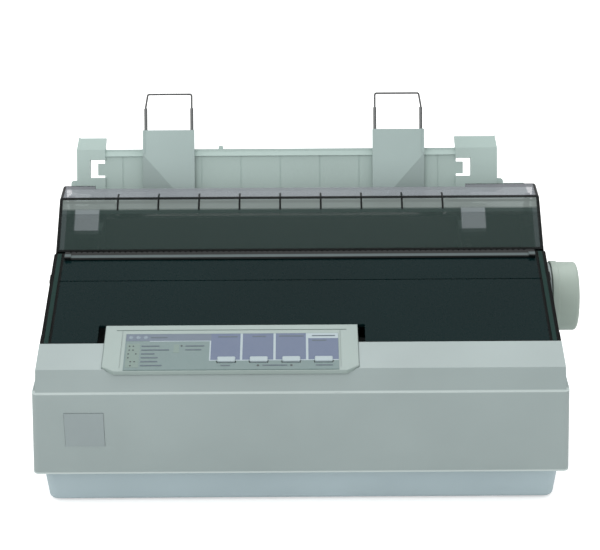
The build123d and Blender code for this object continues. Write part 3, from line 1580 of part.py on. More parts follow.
def make_edge_guide(side):
    """Plate that hooks over the panel's top, with a lip along its outer edge."""
    outer, inner = edge_guide_edges(side)
    x0, x1 = min(outer, inner), max(outer, inner)
    back = -guide_rim_proud - edge_guide_gap
    front = back - edge_guide_thick
    plate = box(x0, x1, front, back, edge_guide_low, edge_guide_height)
    # Facet that falls back towards the outer foot.
    corner = (outer, front + facet_depth, edge_guide_low)
    falling = (
        side * facet_height * facet_depth, -facet_height * facet_width,
        -facet_depth * facet_width,
    )
    block = Box(
        4 * facet_height, 4 * facet_height, facet_width,
        align=(Align.CENTER, Align.CENTER, Align.MIN),
    )
    plate -= Plane(origin=corner, x_dir=(0, -facet_depth, facet_height), z_dir=falling) * block
    lip = sorted((outer, outer - side * lip_width))
    plate += box(*lip, front - lip_proud, front + 0.1, edge_guide_low + facet_height + 0.5,
                 edge_guide_height)
    # Hook over the panel's top edge.
    hook_back = guide_thick + guide_rib_depth + edge_guide_gap + hook_thick
    hook0, hook1 = x0 + hook_inset, x1 - hook_inset
    hook_low = guide_height + hook_rise
    plate += box(hook0, hook1, back - 0.1, hook_back, hook_low, hook_low + hook_thick)
    plate += box(hook0, hook1, hook_back - hook_thick, hook_back, guide_height - hook_drop,
                 hook_low + hook_thick)
    # Holes for the wire sleeves.
    for x in wire_legs(side):
        plate -= rod_z(x, wire_plane(), sleeve_low, edge_guide_height + 1, sleeve_radius)
    return leaning(plate)


def make_wire_sleeves(side):
    sleeves = []
    for x in wire_legs(side):
        tube = rod_z(x, wire_plane(), sleeve_low, sleeve_top, sleeve_radius)
        tube -= rod_z(x, wire_plane(), sleeve_low - 1, sleeve_top + 1, sleeve_bore)
        sleeves.append(leaning(tube))
    return sleeves


def make_wire_support(side):
    """Bent wire: two legs in the sleeves and a bar across, one leg slanting at its top."""
    outer_x, inner_x = wire_legs(side)
    n = wire_plane()
    slant_x = outer_x - side * wire_slant
    points = [
        (outer_x, n, wire_low), (outer_x, n, sleeve_top + 1.0), (slant_x, n, wire_top),
        (inner_x, n, wire_top), (inner_x, n, wire_low),
    ]
    path = FilletPolyline(*points, radius=1.4)
    start = Plane(origin=path @ 0, z_dir=path % 0)
    return leaning(sweep(start * Circle(wire_radius), path=path))


# ---------------------------------------------------------------- electrics
def make_main_board():
    left = main_board_left
    board = box(left, left + main_board_width, board_front, board_front + board_length,
                floor_board_z, floor_board_z + board_thick)
    top = floor_board_z + board_thick
    for x, y, width, length, height in (
        (left + 30, board_front + 30, 36, 14, 4), (left + 78, board_front + 30, 30, 14, 4),
        (left + 50, board_front + 62, 52, 15, 4.5), (left + 110, board_front + 50, 18, 18, 3),
        (left + 24, board_front + 84, 20, 12, 8),
    ):
        board += box(x - width / 2, x + width / 2, y - length / 2, y + length / 2,
                     top - 0.1, top + height)
    return board


def make_power_supply():
    left = supply_left
    board = box(left, left + supply_width, board_front, board_front + board_length,
                floor_board_z, floor_board_z + board_thick)
    top = floor_board_z + board_thick - 0.1
    board += box(left + 48, left + 92, board_front + 14, board_front + 52, top, top + 34)
    board += box(left + 42, left + 98, board_front + 19, board_front + 47, top + 8, top + 26)
    for x in (left + 20, left + 36):
        board += rod_z(x, board_front + 26, top, top + 30, 7.0)
    board += box(left + 60, left + 96, board_front + 62, board_front + 66, top, top + 26)
    return board


def connector_rear():
    return case_depth - 1.0


def make_parallel_connector():
    base = floor_board_z + board_thick
    rear = connector_rear()
    shell = box(parallel_x - 30, parallel_x + 30, rear - 18, rear, base, base + 15)
    shell = fillet(shell.edges().filter_by(Axis.Y), 2.0)
    shell -= box(parallel_x - 25, parallel_x + 25, rear - 8, rear + 1, base + 3.2, base + 12)
    shell += box(parallel_x - 23, parallel_x + 23, rear - 8.5, rear - 1.5, base + 6.6,
                 base + 8.6)
    return shell


def make_serial_connector():
    base = floor_board_z + board_thick
    rear = connector_rear()
    shell = box(serial_x - 15.4, serial_x + 15.4, rear - 14, rear - 4, base, base + 12.5)
    outline = Polyline(
        (serial_x - 9.4, rear - 4.1, base + 10.6), (serial_x + 9.4, rear - 4.1, base + 10.6),
        (serial_x + 7.8, rear - 4.1, base + 2.6), (serial_x - 7.8, rear - 4.1, base + 2.6),
        close=True,
    )
    shell += extrude(make_face(outline), amount=4.1, dir=(0, 1, 0))
    for row, count in ((0, 5), (1, 4)):
        for index in range(count):
            x = serial_x + (index - (count - 1) / 2) * 2.77
            shell -= rod_y(x, base + 8.0 - row * 2.84, rear - 3, rear + 1, 0.55)
    return shell


def make_power_inlet():
    """Three-pin inlet with its collar in the rear wall."""
    base = floor_board_z + board_thick
    rear = connector_rear()
    body = box(inlet_x - 15, inlet_x + 15, rear - 24, rear, base, base + 24)
    body = fillet(body.edges().filter_by(Axis.Y), 2.0)
    body -= box(inlet_x - 12, inlet_x + 12, rear - 15, rear + 1, base + 4.5, base + 20)
    for dx, dz in ((-7, 14.6), (7, 14.6), (0, 10.0)):
        body += box(inlet_x + dx - 1, inlet_x + dx + 1, rear - 16, rear - 3,
                    base + dz - 2, base + dz + 2)
    return body


def side_wall_x(z):
    """Outer X of the left wall at a height under the crease."""
    share = (crease_height - z) / (crease_height - skirt_bottom)
    return -case_width / 2 - skirt_flare * share


def rocker_pivot_x():
    return side_wall_x(switch_z) + 6.0


def make_switch_frame():
    x = side_wall_x(switch_z)
    frame = box(x - 0.8, x + 14, switch_y - 10.8, switch_y + 10.8, switch_z - 6.8,
                switch_z + 6.8)
    frame -= box(x - 2, x + 12.5, switch_y - 9.2, switch_y + 9.2, switch_z - 5.2,
                 switch_z + 5.2)
    frame += box(x - 2.2, x - 0.5, switch_y - 12.5, switch_y + 12.5, switch_z - 8.5,
                 switch_z + 8.5)
    frame -= box(x - 2.8, x + 1, switch_y - 9.2, switch_y + 9.2, switch_z - 5.2,
                 switch_z + 5.2)
    for side in (-1, 1):
        root = switch_z + side * 5.3
        tip = root - side * rocker_pin_length
        frame += rod_z(rocker_pivot_x(), switch_y, min(root, tip), max(root, tip), rocker_pin)
    return frame


def make_power_rocker():
    """Rocker on an upright axis in its frame, pressed to one side at rest."""
    outline = [
        (-8.6, -7.2), (-6.4, 0), (-8.6, 7.2), (-3.0, 6.8), (2.6, 2.6), (2.6, -2.6),
        (-3.0, -6.8),
    ]
    rocker = prism_z(outline, switch_z - 4.0, switch_z + 4.0)
    rocker -= rod_z(0, 0, switch_z - 5.0, switch_z + 5.0, rocker_pin + bearing_clear)
    return Pos(rocker_pivot_x(), switch_y, 0) * Rot(0, 0, rocker_angle) * rocker


def make_release_lever():
    """Lever on the left plate that frees the pinch rollers."""
    x1 = plate_left - plate_thick - 0.3
    x0 = x1 - 2.4
    y, z = release_place
    lever = rod_x(x0, x0 + 2.4, (y, z), 6.0)
    lever += prism_x(
        [(y - 4, z), (y + 4, z), (y + 14, z + 34), (y + 14, z + 46), (y + 8, z + 46),
         (y + 8, z + 34)],
        x0, x0 + 2.4,
    )
    lever += box(x1 - 9, x1, y + 8, y + 14, z + 42, z + 46)
    return lever - rod_x(x0 - 1, x1 + 1, (y, z), release_stud + bearing_clear)


os.makedirs("parts", exist_ok=True)
save(make_lower_case(), "lower_case")
save(make_upper_case(), "upper_case")
save(make_rubber_feet(), "rubber_feet")
save(make_case_screws(), "case_screws")
save(make_badge_plate(), "badge_plate")
save(make_front_cover(), "front_cover")
save(make_tear_bar(), "tear_bar")
save(make_rear_flap(), "rear_flap")
save(make_control_panel(), "control_panel")
save(make_panel_overlay(), "panel_overlay")
for number in range(button_count):
    save(make_button(number), f"push_button_{number + 1}")
save(make_panel_board(), "panel_board")
save(make_side_plate(-1), "side_plate_left")
save(make_side_plate(1), "side_plate_right")
save(make_carriage_shaft(), "carriage_shaft")
save(make_carriage_rail(), "carriage_rail")
save(make_platen_roller(), "platen_roller")
save(make_platen_shaft(), "platen_shaft")
save(make_platen_knob(), "platen_knob")
save(make_platen_gear(), "platen_gear")
save(make_idler(idler_front_place, idler_front_phase), "idler_gear_front")
save(make_idler(idler_rear_place, idler_rear_phase), "idler_gear_rear")
save(make_reduction_gear(), "reduction_gear")
save(make_feed_pinion(), "feed_pinion")
save(make_feed_motor(), "feed_motor")
save(make_pinch_rollers(), "pinch_rollers")
save(make_paper_guide(), "paper_guide")
save(make_carriage(), "carriage")
save(make_print_head(), "print_head")
save(make_heat_sink(), "head_heat_sink")
save(make_drive_pulley(), "drive_pulley")
save(make_idler_pulley(), "idler_pulley")
save(make_drive_belt(), "drive_belt")
save(make_carriage_motor(), "carriage_motor")
save(make_ribbon_cartridge(), "ribbon_cartridge")
save(make_ribbon_knob(), "ribbon_knob")
save(make_tractor_shaft(), "tractor_shaft")
save(make_tractor_bar(), "tractor_bar")
save([make_tractor_block(-1), make_tractor_block(1)], "tractor_blocks")
save(make_tractor_lid(-1), "tractor_lid_left")
save(make_tractor_lid(1), "tractor_lid_right")
save(make_sheet_guide(), "sheet_guide")
save(make_guide_brackets(), "guide_brackets")
for side_name, side_sign in (("left", -1), ("right", 1)):
    save(make_edge_guide(side_sign), f"edge_guide_{side_name}")
    save(make_wire_sleeves(side_sign), f"wire_sleeves_{side_name}")
    save(make_wire_support(side_sign), f"wire_support_{side_name}")
save(make_main_board(), "main_board")
save(make_power_supply(), "power_supply")
save(make_parallel_connector(), "parallel_connector")
save(make_serial_connector(), "serial_connector")
save(make_power_inlet(), "power_inlet")
save(make_switch_frame(), "switch_frame")
save(make_power_rocker(), "power_rocker")
save(make_release_lever(), "release_lever")
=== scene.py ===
import json
import math

import bmesh
import bpy
from mathutils import Matrix, Vector


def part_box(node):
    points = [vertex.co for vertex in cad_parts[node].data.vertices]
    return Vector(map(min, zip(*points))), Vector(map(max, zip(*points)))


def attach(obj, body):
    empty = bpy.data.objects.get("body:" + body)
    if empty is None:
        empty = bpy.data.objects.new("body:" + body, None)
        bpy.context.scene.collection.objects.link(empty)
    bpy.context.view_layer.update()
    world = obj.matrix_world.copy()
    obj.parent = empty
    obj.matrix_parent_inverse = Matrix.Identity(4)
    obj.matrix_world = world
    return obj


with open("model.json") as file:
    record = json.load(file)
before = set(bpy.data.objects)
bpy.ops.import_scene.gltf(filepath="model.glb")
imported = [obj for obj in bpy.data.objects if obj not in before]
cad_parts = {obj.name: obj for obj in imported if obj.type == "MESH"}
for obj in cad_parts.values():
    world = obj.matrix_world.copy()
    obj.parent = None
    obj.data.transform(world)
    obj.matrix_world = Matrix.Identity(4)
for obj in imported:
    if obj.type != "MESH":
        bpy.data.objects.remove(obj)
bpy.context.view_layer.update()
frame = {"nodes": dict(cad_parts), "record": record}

# ---------------------------------------------------------------- places taken from the frame
nodes = frame["nodes"]
case_low, case_high = (Vector(corner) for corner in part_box("upper_case"))
flap_low, flap_high = (Vector(corner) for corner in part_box("rear_flap"))
middle_x = (case_low.x + case_high.x) / 2      # middle of the case
front_y = case_low.y + 0.001                   # front crease of the case
crease_z = 0.094                               # height of the crease
slope = math.radians(12.5)                     # tilt of the strip, panel and front cover
band_run = 0.0086                              # chamfer band above the crease
band_rise = 0.0142
overlay_top = 0.0016                           # printed film over the slope plane
flap_crease_y = flap_high.y - 0.022            # crease between the flap's slope and top
cover_low, cover_high = (Vector(corner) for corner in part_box("front_cover"))
bar_front_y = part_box("tear_bar")[0][1]
paper_x = middle_x - 0.0145                    # middle of the paper's path


# ---------------------------------------------------------------- materials
def srgb(red, green, blue):
    """Linear colour of an 8-bit screen colour."""
    def channel(value):
        value /= 255
        return value / 12.92 if value <= 0.04045 else ((value + 0.055) / 1.055) ** 2.4
    return (channel(red), channel(green), channel(blue), 1.0)


class Nodes:
    """A short way to add and join shader nodes."""

    def __init__(self, name):
        self.material = bpy.data.materials.new(name)
        self.material.use_nodes = True
        self.tree = self.material.node_tree
        self.shader = self.tree.nodes["Principled BSDF"]
        self.place = self.tree.nodes.new("ShaderNodeTexCoord").outputs["Object"]

    def add(self, kind, **values):
        node = self.tree.nodes.new(kind)
        for key, value in values.items():
            if key in node.inputs:
                node.inputs[key].default_value = value
            else:
                setattr(node, key, value)
        return node

    def join(self, output, target):
        self.tree.links.new(output, target)

    def noise(self, scale, detail=2.0, rough=0.5):
        """Cloudy noise fixed to the piece."""
        node = self.add("ShaderNodeTexNoise", Scale=scale, Detail=detail, Roughness=rough)
        self.join(self.place, node.inputs["Vector"])
        return node.outputs["Fac"]

    def spread(self, source, lowest, highest, source_low=0.3, source_high=0.7):
        """Spreads one span of a number over another."""
        node = self.add("ShaderNodeMapRange")
        node.inputs["From Min"].default_value = source_low
        node.inputs["From Max"].default_value = source_high
        node.inputs["To Min"].default_value = lowest
        node.inputs["To Max"].default_value = highest
        self.join(source, node.inputs["Value"])
        return node.outputs["Result"]

    def put(self, value, socket):
        """Gives a socket a fixed value or another node's output."""
        if isinstance(value, (float, tuple)):
            socket.default_value = value
        else:
            self.join(value, socket)

    def between(self, data_type, socket_type, factor, first, second):
        node = self.add("ShaderNodeMix", data_type=data_type)
        self.put(factor, node.inputs[0])
        ends = [socket for socket in node.inputs if socket.type == socket_type][-2:]
        for socket, value in zip(ends, (first, second)):
            self.put(value, socket)
        return next(socket for socket in node.outputs if socket.type == socket_type)

    def mix(self, factor, first, second):
        """A colour that goes from the first to the second with the factor."""
        return self.between("RGBA", "RGBA", factor, first, second)

    def blend(self, factor, first, second):
        """A number that goes from the first to the second with the factor."""
        return self.between("FLOAT", "VALUE", factor, first, second)

    def maths(self, operation, first, second):
        node = self.add("ShaderNodeMath", operation=operation)
        for socket, value in zip(node.inputs, (first, second)):
            self.put(value, socket)
        return node.outputs[0]

    def across(self):
        """Distance to the right in the frame."""
        return self.part_of_place("X")

    def along(self):
        """Distance to the back in the frame."""
        return self.part_of_place("Y")

    def part_of_place(self, axis):
        split = self.add("ShaderNodeSeparateXYZ")
        self.join(self.place, split.inputs[0])
        return split.outputs[axis]

    def near(self, source, centre, half, soft):
        """One within a half width of the centre, falling to nought over a soft edge."""
        distance = self.maths("ABSOLUTE", self.maths("SUBTRACT", source, centre), 0.0)
        return self.spread(distance, 1.0, 0.0, half, half + soft)

    def side_band(self, across, start):
        """One further out than a distance from the middle of the case, on both sides."""
        distance = self.maths("ABSOLUTE", self.maths("SUBTRACT", across, middle_x), 0.0)
        return self.spread(distance, 0.0, 1.0, start - 0.0003, start + 0.0003)

    def bump(self, height, strength, distance):
        node = self.add("ShaderNodeBump", Strength=strength, Distance=distance)
        self.join(height, node.inputs["Height"])
        self.join(node.outputs["Normal"], self.shader.inputs["Normal"])


def shade(colour, factor):
    return tuple(min(1.0, value * factor) for value in colour[:3]) + (1.0,)


PLASTIC_IOR = 1.48
ROUGH = 0.45                  # usual roughness of the moulded plastic
DRIFT = 0.04                  # its colour drifts by this share
GRAIN = 2600.0                # scale of its grain
GRAIN_DEPTH = 0.00003
FILM_GRAIN = 1500.0           # finer surface of the printed film
FILM_DEPTH = 0.00001
GLOSS_SCALE = 0.35            # the gloss drifts on this share of the grain's scale
GRAIN_STRENGTH = 0.35


def drifting(mat, colour, drift=DRIFT, scale=14.0, detail=3.0):
    """A colour that drifts a little over some centimetres."""
    tint = mat.spread(mat.noise(scale, detail), 0.0, 1.0)
    return mat.mix(tint, shade(colour, 1 - drift), shade(colour, 1 + drift))


def grained(mat, rough=ROUGH, grain=GRAIN, depth=GRAIN_DEPTH):
    """Spark-eroded grain and a slight drift of gloss."""
    gloss = mat.noise(grain * GLOSS_SCALE, 2.0)
    mat.join(mat.spread(gloss, rough - 0.05, rough + 0.07), mat.shader.inputs["Roughness"])
    mat.bump(mat.noise(grain, 2.0, 0.6), GRAIN_STRENGTH, depth)
    mat.shader.inputs["IOR"].default_value = PLASTIC_IOR


def moulded(name, colour, rough=ROUGH, grain=GRAIN, depth=GRAIN_DEPTH):
    """Plain moulded plastic."""
    mat = Nodes(name)
    mat.join(drifting(mat, colour), mat.shader.inputs["Base Color"])
    grained(mat, rough, grain, depth)
    return mat.material


def film(name, colour, rough=0.35):
    """Smooth printed film."""
    return moulded(name, colour, rough, FILM_GRAIN, FILM_DEPTH)


def case_plastic(name):
    """The case's plastic, with a painted highlight along the rounded front crease and lower edge.
    """
    crease_half, foot_half, soft = 0.0004, 0.0009, 0.0005
    front_depth = 0.004           # only this close to the front crease
    mat = Nodes(name)
    up, along = mat.part_of_place("Z"), mat.along()
    crease = mat.near(up, crease_z + crease_half / 2, crease_half, soft)
    foot = mat.near(up, case_low.z, foot_half, soft + 0.0001)
    line = mat.maths("MAXIMUM", crease, foot)
    front_end = front_y + front_depth
    at_front = mat.spread(along, 1.0, 0.0, front_end, front_end + 0.002)
    line = mat.maths("MULTIPLY", line, at_front)
    # painted highlight: CASE_GLINT mixed in along the front crease and the lower edge
    mat.join(mat.mix(line, drifting(mat, CASE), CASE_GLINT), mat.shader.inputs["Base Color"])
    grained(mat)
    return mat.material


def edge_plastic(name):
    """The edge guides' plastic, with painted shade on the facet that falls back at the foot."""
    facet_lean, lean_half, soft = 0.085, 0.040, 0.010    # sideways share of the facet's normal
    mat = Nodes(name)
    facing = mat.add("ShaderNodeSeparateXYZ")
    mat.join(mat.add("ShaderNodeNewGeometry").outputs["True Normal"], facing.inputs[0])
    sideways = mat.maths("ABSOLUTE", facing.outputs["X"], 0.0)
    facet = mat.near(sideways, facet_lean, lean_half, soft)
    # painted shade: the facet, picked by the way it faces, is darkened by FACET_SHADE
    colour = mat.mix(facet, drifting(mat, EDGE_GUIDE), shade(EDGE_GUIDE, FACET_SHADE))
    mat.join(colour, mat.shader.inputs["Base Color"])
    grained(mat, EDGE_ROUGH)
    return mat.material


def smoked_surface(mat, rough, gloss):
    """Hairline wear and faint moulding waves on smoked clear plastic."""
    wear = mat.noise(420.0, 4.0, 0.65)
    mat.join(mat.spread(wear, rough - 0.02, rough + 0.10), mat.shader.inputs["Roughness"])
    mat.bump(mat.noise(22.0, 1.0), 0.04, 0.0006)
    mat.shader.inputs["Specular IOR Level"].default_value = gloss


def smoked_flap(name):
    """The flap: dark below, clearer along its crease, with painted light along the crease and on
    top, black along its edges.
    """
    low_alpha, clear_alpha, arm_alpha, seam_alpha = 0.74, 0.60, 0.55, 0.92
    top_alpha, mark_alpha = 0.55, 0.96
    mat = Nodes(name)
    across, along = mat.across(), mat.along()
    half = (flap_high.x - flap_low.x) / 2
    clear = mat.spread(along, 0.0, 1.0, flap_crease_y - 0.0096, flap_crease_y - 0.0080)
    top = mat.spread(along, 0.0, 1.0, flap_crease_y - 0.0004, flap_crease_y + 0.0004)
    # Clearer over the two arms, with painted light for the arms seen through, and a little paler
    # inside the side edges.
    arm_centre, arm_half, arm_soft = 0.1436, 0.0084, 0.0010
    arm_reach = 0.6 * (flap_crease_y - flap_low.y)
    from_paper = mat.maths("SUBTRACT", across, paper_x)
    arm = mat.near(mat.maths("ABSOLUTE", from_paper, 0.0), arm_centre, arm_half, arm_soft)
    arm = mat.maths("MULTIPLY", arm, mat.near(along, flap_crease_y, arm_reach, 0.0008))
    rim_width = 0.0062
    colour = mat.mix(mat.side_band(across, half - rim_width), FLAP_LOW, FLAP_RIM)
    # painted light: paler where the arms show through the flap
    colour = mat.mix(arm, colour, FLAP_ARM_LIGHT)
    # painted light seen through the clearer strip along the crease
    colour = mat.mix(clear, colour, FLAP_CLEAR_LIGHT)
    # painted light on the flap's top
    colour = mat.mix(top, colour, FLAP_TOP_LIGHT)
    # A denser line in front of the clear strip.
    seam_depth, seam_half, seam_soft = 0.0106, 0.0013, 0.0006
    seam = mat.near(along, flap_crease_y - seam_depth, seam_half, seam_soft)
    alpha = mat.blend(arm, low_alpha, arm_alpha)
    alpha = mat.blend(seam, alpha, seam_alpha)
    alpha = mat.blend(clear, alpha, clear_alpha)
    alpha = mat.blend(top, alpha, top_alpha)
    # Dark bead along the crease, short ribs across it and dark edges.
    bead_half, bead_soft = 0.0011, 0.0003
    bead = mat.near(along, flap_crease_y - 0.0004, bead_half, bead_soft)
    rib_half, rib_end, rib_middle, rib_reach = 0.0006, 0.0009, 0.0013, 0.0079
    rib = mat.maths("PINGPONG", from_paper, RIB_PITCH / 2)
    rib = mat.spread(rib, 1.0, 0.0, rib_half, rib_end)
    rib_zone = mat.near(along, flap_crease_y - rib_middle, rib_reach, 0.0006)
    rib_row = mat.near(from_paper, 0.0, RIB_COUNT / 2 * RIB_PITCH, 0.0010)
    rib = mat.maths("MULTIPLY", mat.maths("MULTIPLY", rib, rib_zone), rib_row)
    front = mat.spread(along, 1.0, 0.0, flap_low.y + 0.0012, flap_low.y + 0.0018)
    rear = mat.spread(along, 0.0, 1.0, flap_high.y - 0.0012, flap_high.y - 0.0008)
    side_width = 0.0028
    mark = mat.maths("MAXIMUM", bead, rib)
    for line in (front, rear, mat.side_band(across, half - side_width)):
        mark = mat.maths("MAXIMUM", mark, line)
    mat.join(mat.mix(mark, colour, FLAP_EDGE), mat.shader.inputs["Base Color"])
    mat.join(mat.blend(mark, alpha, mark_alpha), mat.shader.inputs["Alpha"])
    smoked_surface(mat, 0.16, 0.16)
    return mat.material


def smoked_cover(name):
    """The front cover: dark, with a paler strip inside each dark side edge."""
    line_width, strip_width, edge_width = 0.0084, 0.0064, 0.0034    # inward from its sides
    mat = Nodes(name)
    across = mat.across()
    half = (cover_high.x - cover_low.x) / 2
    colour = drifting(mat, COVER, 0.08, 9.0, 2.0)
    colour = mat.mix(mat.side_band(across, half - line_width), colour, COVER_EDGE)
    colour = mat.mix(mat.side_band(across, half - strip_width), colour, COVER_STRIP)
    colour = mat.mix(mat.side_band(across, half - edge_width), colour, COVER_EDGE)
    mat.join(colour, mat.shader.inputs["Base Color"])
    smoked_surface(mat, 0.2, 0.03)
    mat.shader.inputs["Alpha"].default_value = 0.97
    return mat.material


def bar_plastic(name):
    """The tear bar: a paler line between a dark front edge and a dark rear edge."""
    line_front, line_rear = 0.0011, 0.0040    # the paler line, from the bar's front edge
    mat = Nodes(name)
    along = mat.along()
    front = mat.spread(along, 1.0, 0.0, bar_front_y + line_front, bar_front_y + line_front + 0.0005)
    rear = mat.spread(along, 0.0, 1.0, bar_front_y + line_rear, bar_front_y + line_rear + 0.0004)
    dark = mat.maths("MAXIMUM", front, rear)
    mat.join(mat.mix(dark, BAR, BAR_EDGE), mat.shader.inputs["Base Color"])
    mat.join(mat.spread(mat.noise(600.0), 0.3, 0.42), mat.shader.inputs["Roughness"])
    mat.bump(mat.noise(1800.0, 2.0, 0.6), GRAIN_STRENGTH, GRAIN_DEPTH)
    mat.shader.inputs["Specular IOR Level"].default_value = 0.12
    return mat.material


def metal(name, colour, rough=0.28, stretch=(4.0, 300.0, 300.0), drift=0.08):
    """Drawn or rolled metal with fine lines along one direction."""
    mat = Nodes(name)
    scale = mat.add("ShaderNodeMapping")
    scale.inputs["Scale"].default_value = stretch
    mat.join(mat.place, scale.inputs["Vector"])
    lines = mat.add("ShaderNodeTexNoise", Scale=6.0, Detail=3.0)
    mat.join(scale.outputs["Vector"], lines.inputs["Vector"])
    tint = mat.spread(lines.outputs["Fac"], 0.0, 1.0)
    mat.join(
        mat.mix(tint, shade(colour, 1 - drift), shade(colour, 1 + drift)),
        mat.shader.inputs["Base Color"],
    )
    mat.join(
        mat.spread(lines.outputs["Fac"], rough - 0.08, rough + 0.12),
        mat.shader.inputs["Roughness"],
    )
    mat.bump(lines.outputs["Fac"], 0.15, 0.00002)
    mat.shader.inputs["Metallic"].default_value = 1.0
    return mat.material


def rubber(name, colour, rough=0.62):
    """Matt rubber with a little dust."""
    mat = Nodes(name)
    dust = mat.noise(180.0, 4.0, 0.6)
    tint = mat.spread(dust, 0.0, 1.0, 0.4, 0.75)
    mat.join(mat.mix(tint, colour, shade(colour, 1.8)), mat.shader.inputs["Base Color"])
    mat.join(mat.spread(dust, rough - 0.08, rough + 0.12), mat.shader.inputs["Roughness"])
    mat.bump(mat.noise(1400.0, 2.0), 0.3, 0.00004)
    return mat.material


def circuit_board(name):
    """Green solder resist with paler lines between its fields."""
    mat = Nodes(name)
    brick = mat.add("ShaderNodeTexBrick", Scale=90.0)
    brick.inputs["Color1"].default_value = srgb(30, 92, 58)
    brick.inputs["Color2"].default_value = srgb(24, 78, 50)
    brick.inputs["Mortar"].default_value = srgb(44, 118, 74)
    mat.join(mat.place, brick.inputs["Vector"])
    mat.join(brick.outputs["Color"], mat.shader.inputs["Base Color"])
    mat.join(mat.spread(mat.noise(300.0), 0.3, 0.45), mat.shader.inputs["Roughness"])
    mat.bump(brick.outputs["Fac"], 0.3, 0.00003)
    return mat.material


CASE = srgb(147, 160, 159)
CASE_GLINT = srgb(186, 198, 196)
TRAY = srgb(168, 185, 190)
GUIDE = srgb(172, 191, 186)
EDGE_GUIDE = srgb(166, 184, 181)
FACET_SHADE = 0.84
EDGE_ROUGH = 0.42
KNOB = srgb(156, 170, 161)
COVER = srgb(8, 29, 30)
COVER_STRIP = srgb(26, 50, 46)
COVER_EDGE = srgb(1, 3, 3)
BAR = srgb(78, 90, 91)
BAR_EDGE = srgb(10, 16, 16)
RIB_PITCH = 0.0303            # of the short ribs inside the flap's crease
RIB_COUNT = 9
FLAP_LOW = srgb(44, 59, 56)
FLAP_RIM = srgb(66, 77, 77)
FLAP_ARM_LIGHT = srgb(118, 127, 129)
FLAP_CLEAR_LIGHT = srgb(132, 142, 139)
FLAP_TOP_LIGHT = srgb(142, 146, 152)
FLAP_EDGE = srgb(5, 10, 10)

finishes = {
    "case": case_plastic("case_plastic"),
    "tray": moulded("tray_plastic", TRAY),
    "panel_frame": moulded("panel_plastic", srgb(140, 155, 151), 0.4),
    "badge": moulded("badge_plastic", srgb(140, 152, 153), 0.35, 900.0),
    "overlay": film("overlay_film", srgb(92, 114, 113)),
    "button": moulded("button_plastic", srgb(149, 164, 168), 0.35, 1800.0),
    "knob": moulded("knob_plastic", KNOB, 0.5),
    "guide_plastic": moulded("guide_plastic", GUIDE),
    "edge_plastic": edge_plastic("edge_plastic"),
    "tear_bar": bar_plastic("tear_bar_plastic"),
    "smoked_cover": smoked_cover("smoked_cover"),
    "smoked_flap": smoked_flap("smoked_flap"),
    "black_plastic": moulded("black_plastic", srgb(38, 40, 42), 0.5, 1800.0),
    "tractor_plastic": moulded("tractor_plastic", srgb(46, 49, 52), 0.45, 1500.0),
    "gear_plastic": moulded("gear_plastic", srgb(186, 184, 174), 0.35, 700.0),
    "lever_plastic": moulded("lever_plastic", srgb(122, 132, 136), 0.4),
    "ribbon_knob": moulded("ribbon_knob_plastic", srgb(138, 142, 142), 0.4),
    "socket_plastic": moulded("socket_plastic", srgb(60, 78, 110), 0.35),
    "frame_steel": metal("frame_steel", srgb(178, 180, 180), 0.32),
    "bright_steel": metal("bright_steel", srgb(205, 206, 206), 0.16),
    "steel": metal("screw_steel", srgb(190, 190, 188), 0.3, (300.0, 300.0, 20.0)),
    "motor_case": metal("motor_steel", srgb(160, 162, 164), 0.35, (300.0, 300.0, 8.0)),
    "socket_metal": metal("socket_metal", srgb(190, 190, 190), 0.3),
    "head_metal": metal("head_metal", srgb(120, 122, 124), 0.4, (120.0, 120.0, 120.0)),
    "sink_metal": metal("sink_metal", srgb(66, 68, 70), 0.42, (60.0, 60.0, 60.0)),
    "sleeve_steel": metal("sleeve_steel", srgb(112, 114, 114), 0.35, (300.0, 300.0, 20.0)),
    "wire_steel": metal("wire_steel", srgb(96, 97, 97), 0.32, (300.0, 300.0, 20.0)),
    "pinion_brass": metal("pinion_brass", srgb(196, 166, 96), 0.3),
    "platen_rubber": rubber("platen_rubber", srgb(46, 48, 49)),
    "foot_rubber": rubber("foot_rubber", srgb(40, 40, 40)),
    "pinch_rubber": rubber("pinch_rubber", srgb(54, 55, 56)),
    "belt_rubber": rubber("belt_rubber", srgb(36, 36, 36)),
    "circuit_board": circuit_board("circuit_board"),
}
for part in frame["record"]["subparts"]:
    shape = nodes[part["node"]]
    for holder in shape.material_slots:
        holder.material = finishes[part["material_slot"]]


# ---------------------------------------------------------------- prints on the panel's film
PRINT = 0.00006               # thickness of a printed field


def on_slope(x, u, w):
    """A place from millimetres across and up the sloped top, and metres above it."""
    x, u = x / 1000, u / 1000
    return (
        middle_x + x,
        front_y + band_run + u * math.cos(slope) - w * math.sin(slope),
        crease_z + band_rise + u * math.sin(slope) + w * math.cos(slope),
    )


def field(x0, x1, u0, u1):
    """Corners of a printed rectangle."""
    return [(x0, u0), (x1, u0), (x1, u1), (x0, u1)]


def disc(x, u, radius, corners=16):
    """Corners of a printed dot."""
    turns = [2 * math.pi * index / corners for index in range(corners)]
    return [(x + radius * math.cos(turn), u + radius * math.sin(turn)) for turn in turns]


def add_print(name, outlines, material, layer=0):
    """One piece of thin fields that lie on the film."""
    mesh = bmesh.new()
    low = overlay_top + layer * PRINT
    for outline in outlines:
        rings = [
            [mesh.verts.new(on_slope(x, u, w)) for x, u in outline] for w in (low, low + PRINT)
        ]
        mesh.faces.new(rings[1])
        mesh.faces.new(list(reversed(rings[0])))
        for index in range(len(outline)):
            after = (index + 1) % len(outline)
            mesh.faces.new(
                (rings[0][index], rings[0][after], rings[1][after], rings[1][index])
            )
    data = bpy.data.meshes.new(name)
    mesh.to_mesh(data)
    mesh.free()
    data.materials.append(material)
    piece = bpy.data.objects.new(name, data)
    bpy.context.scene.collection.objects.link(piece)
    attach(piece, "base")


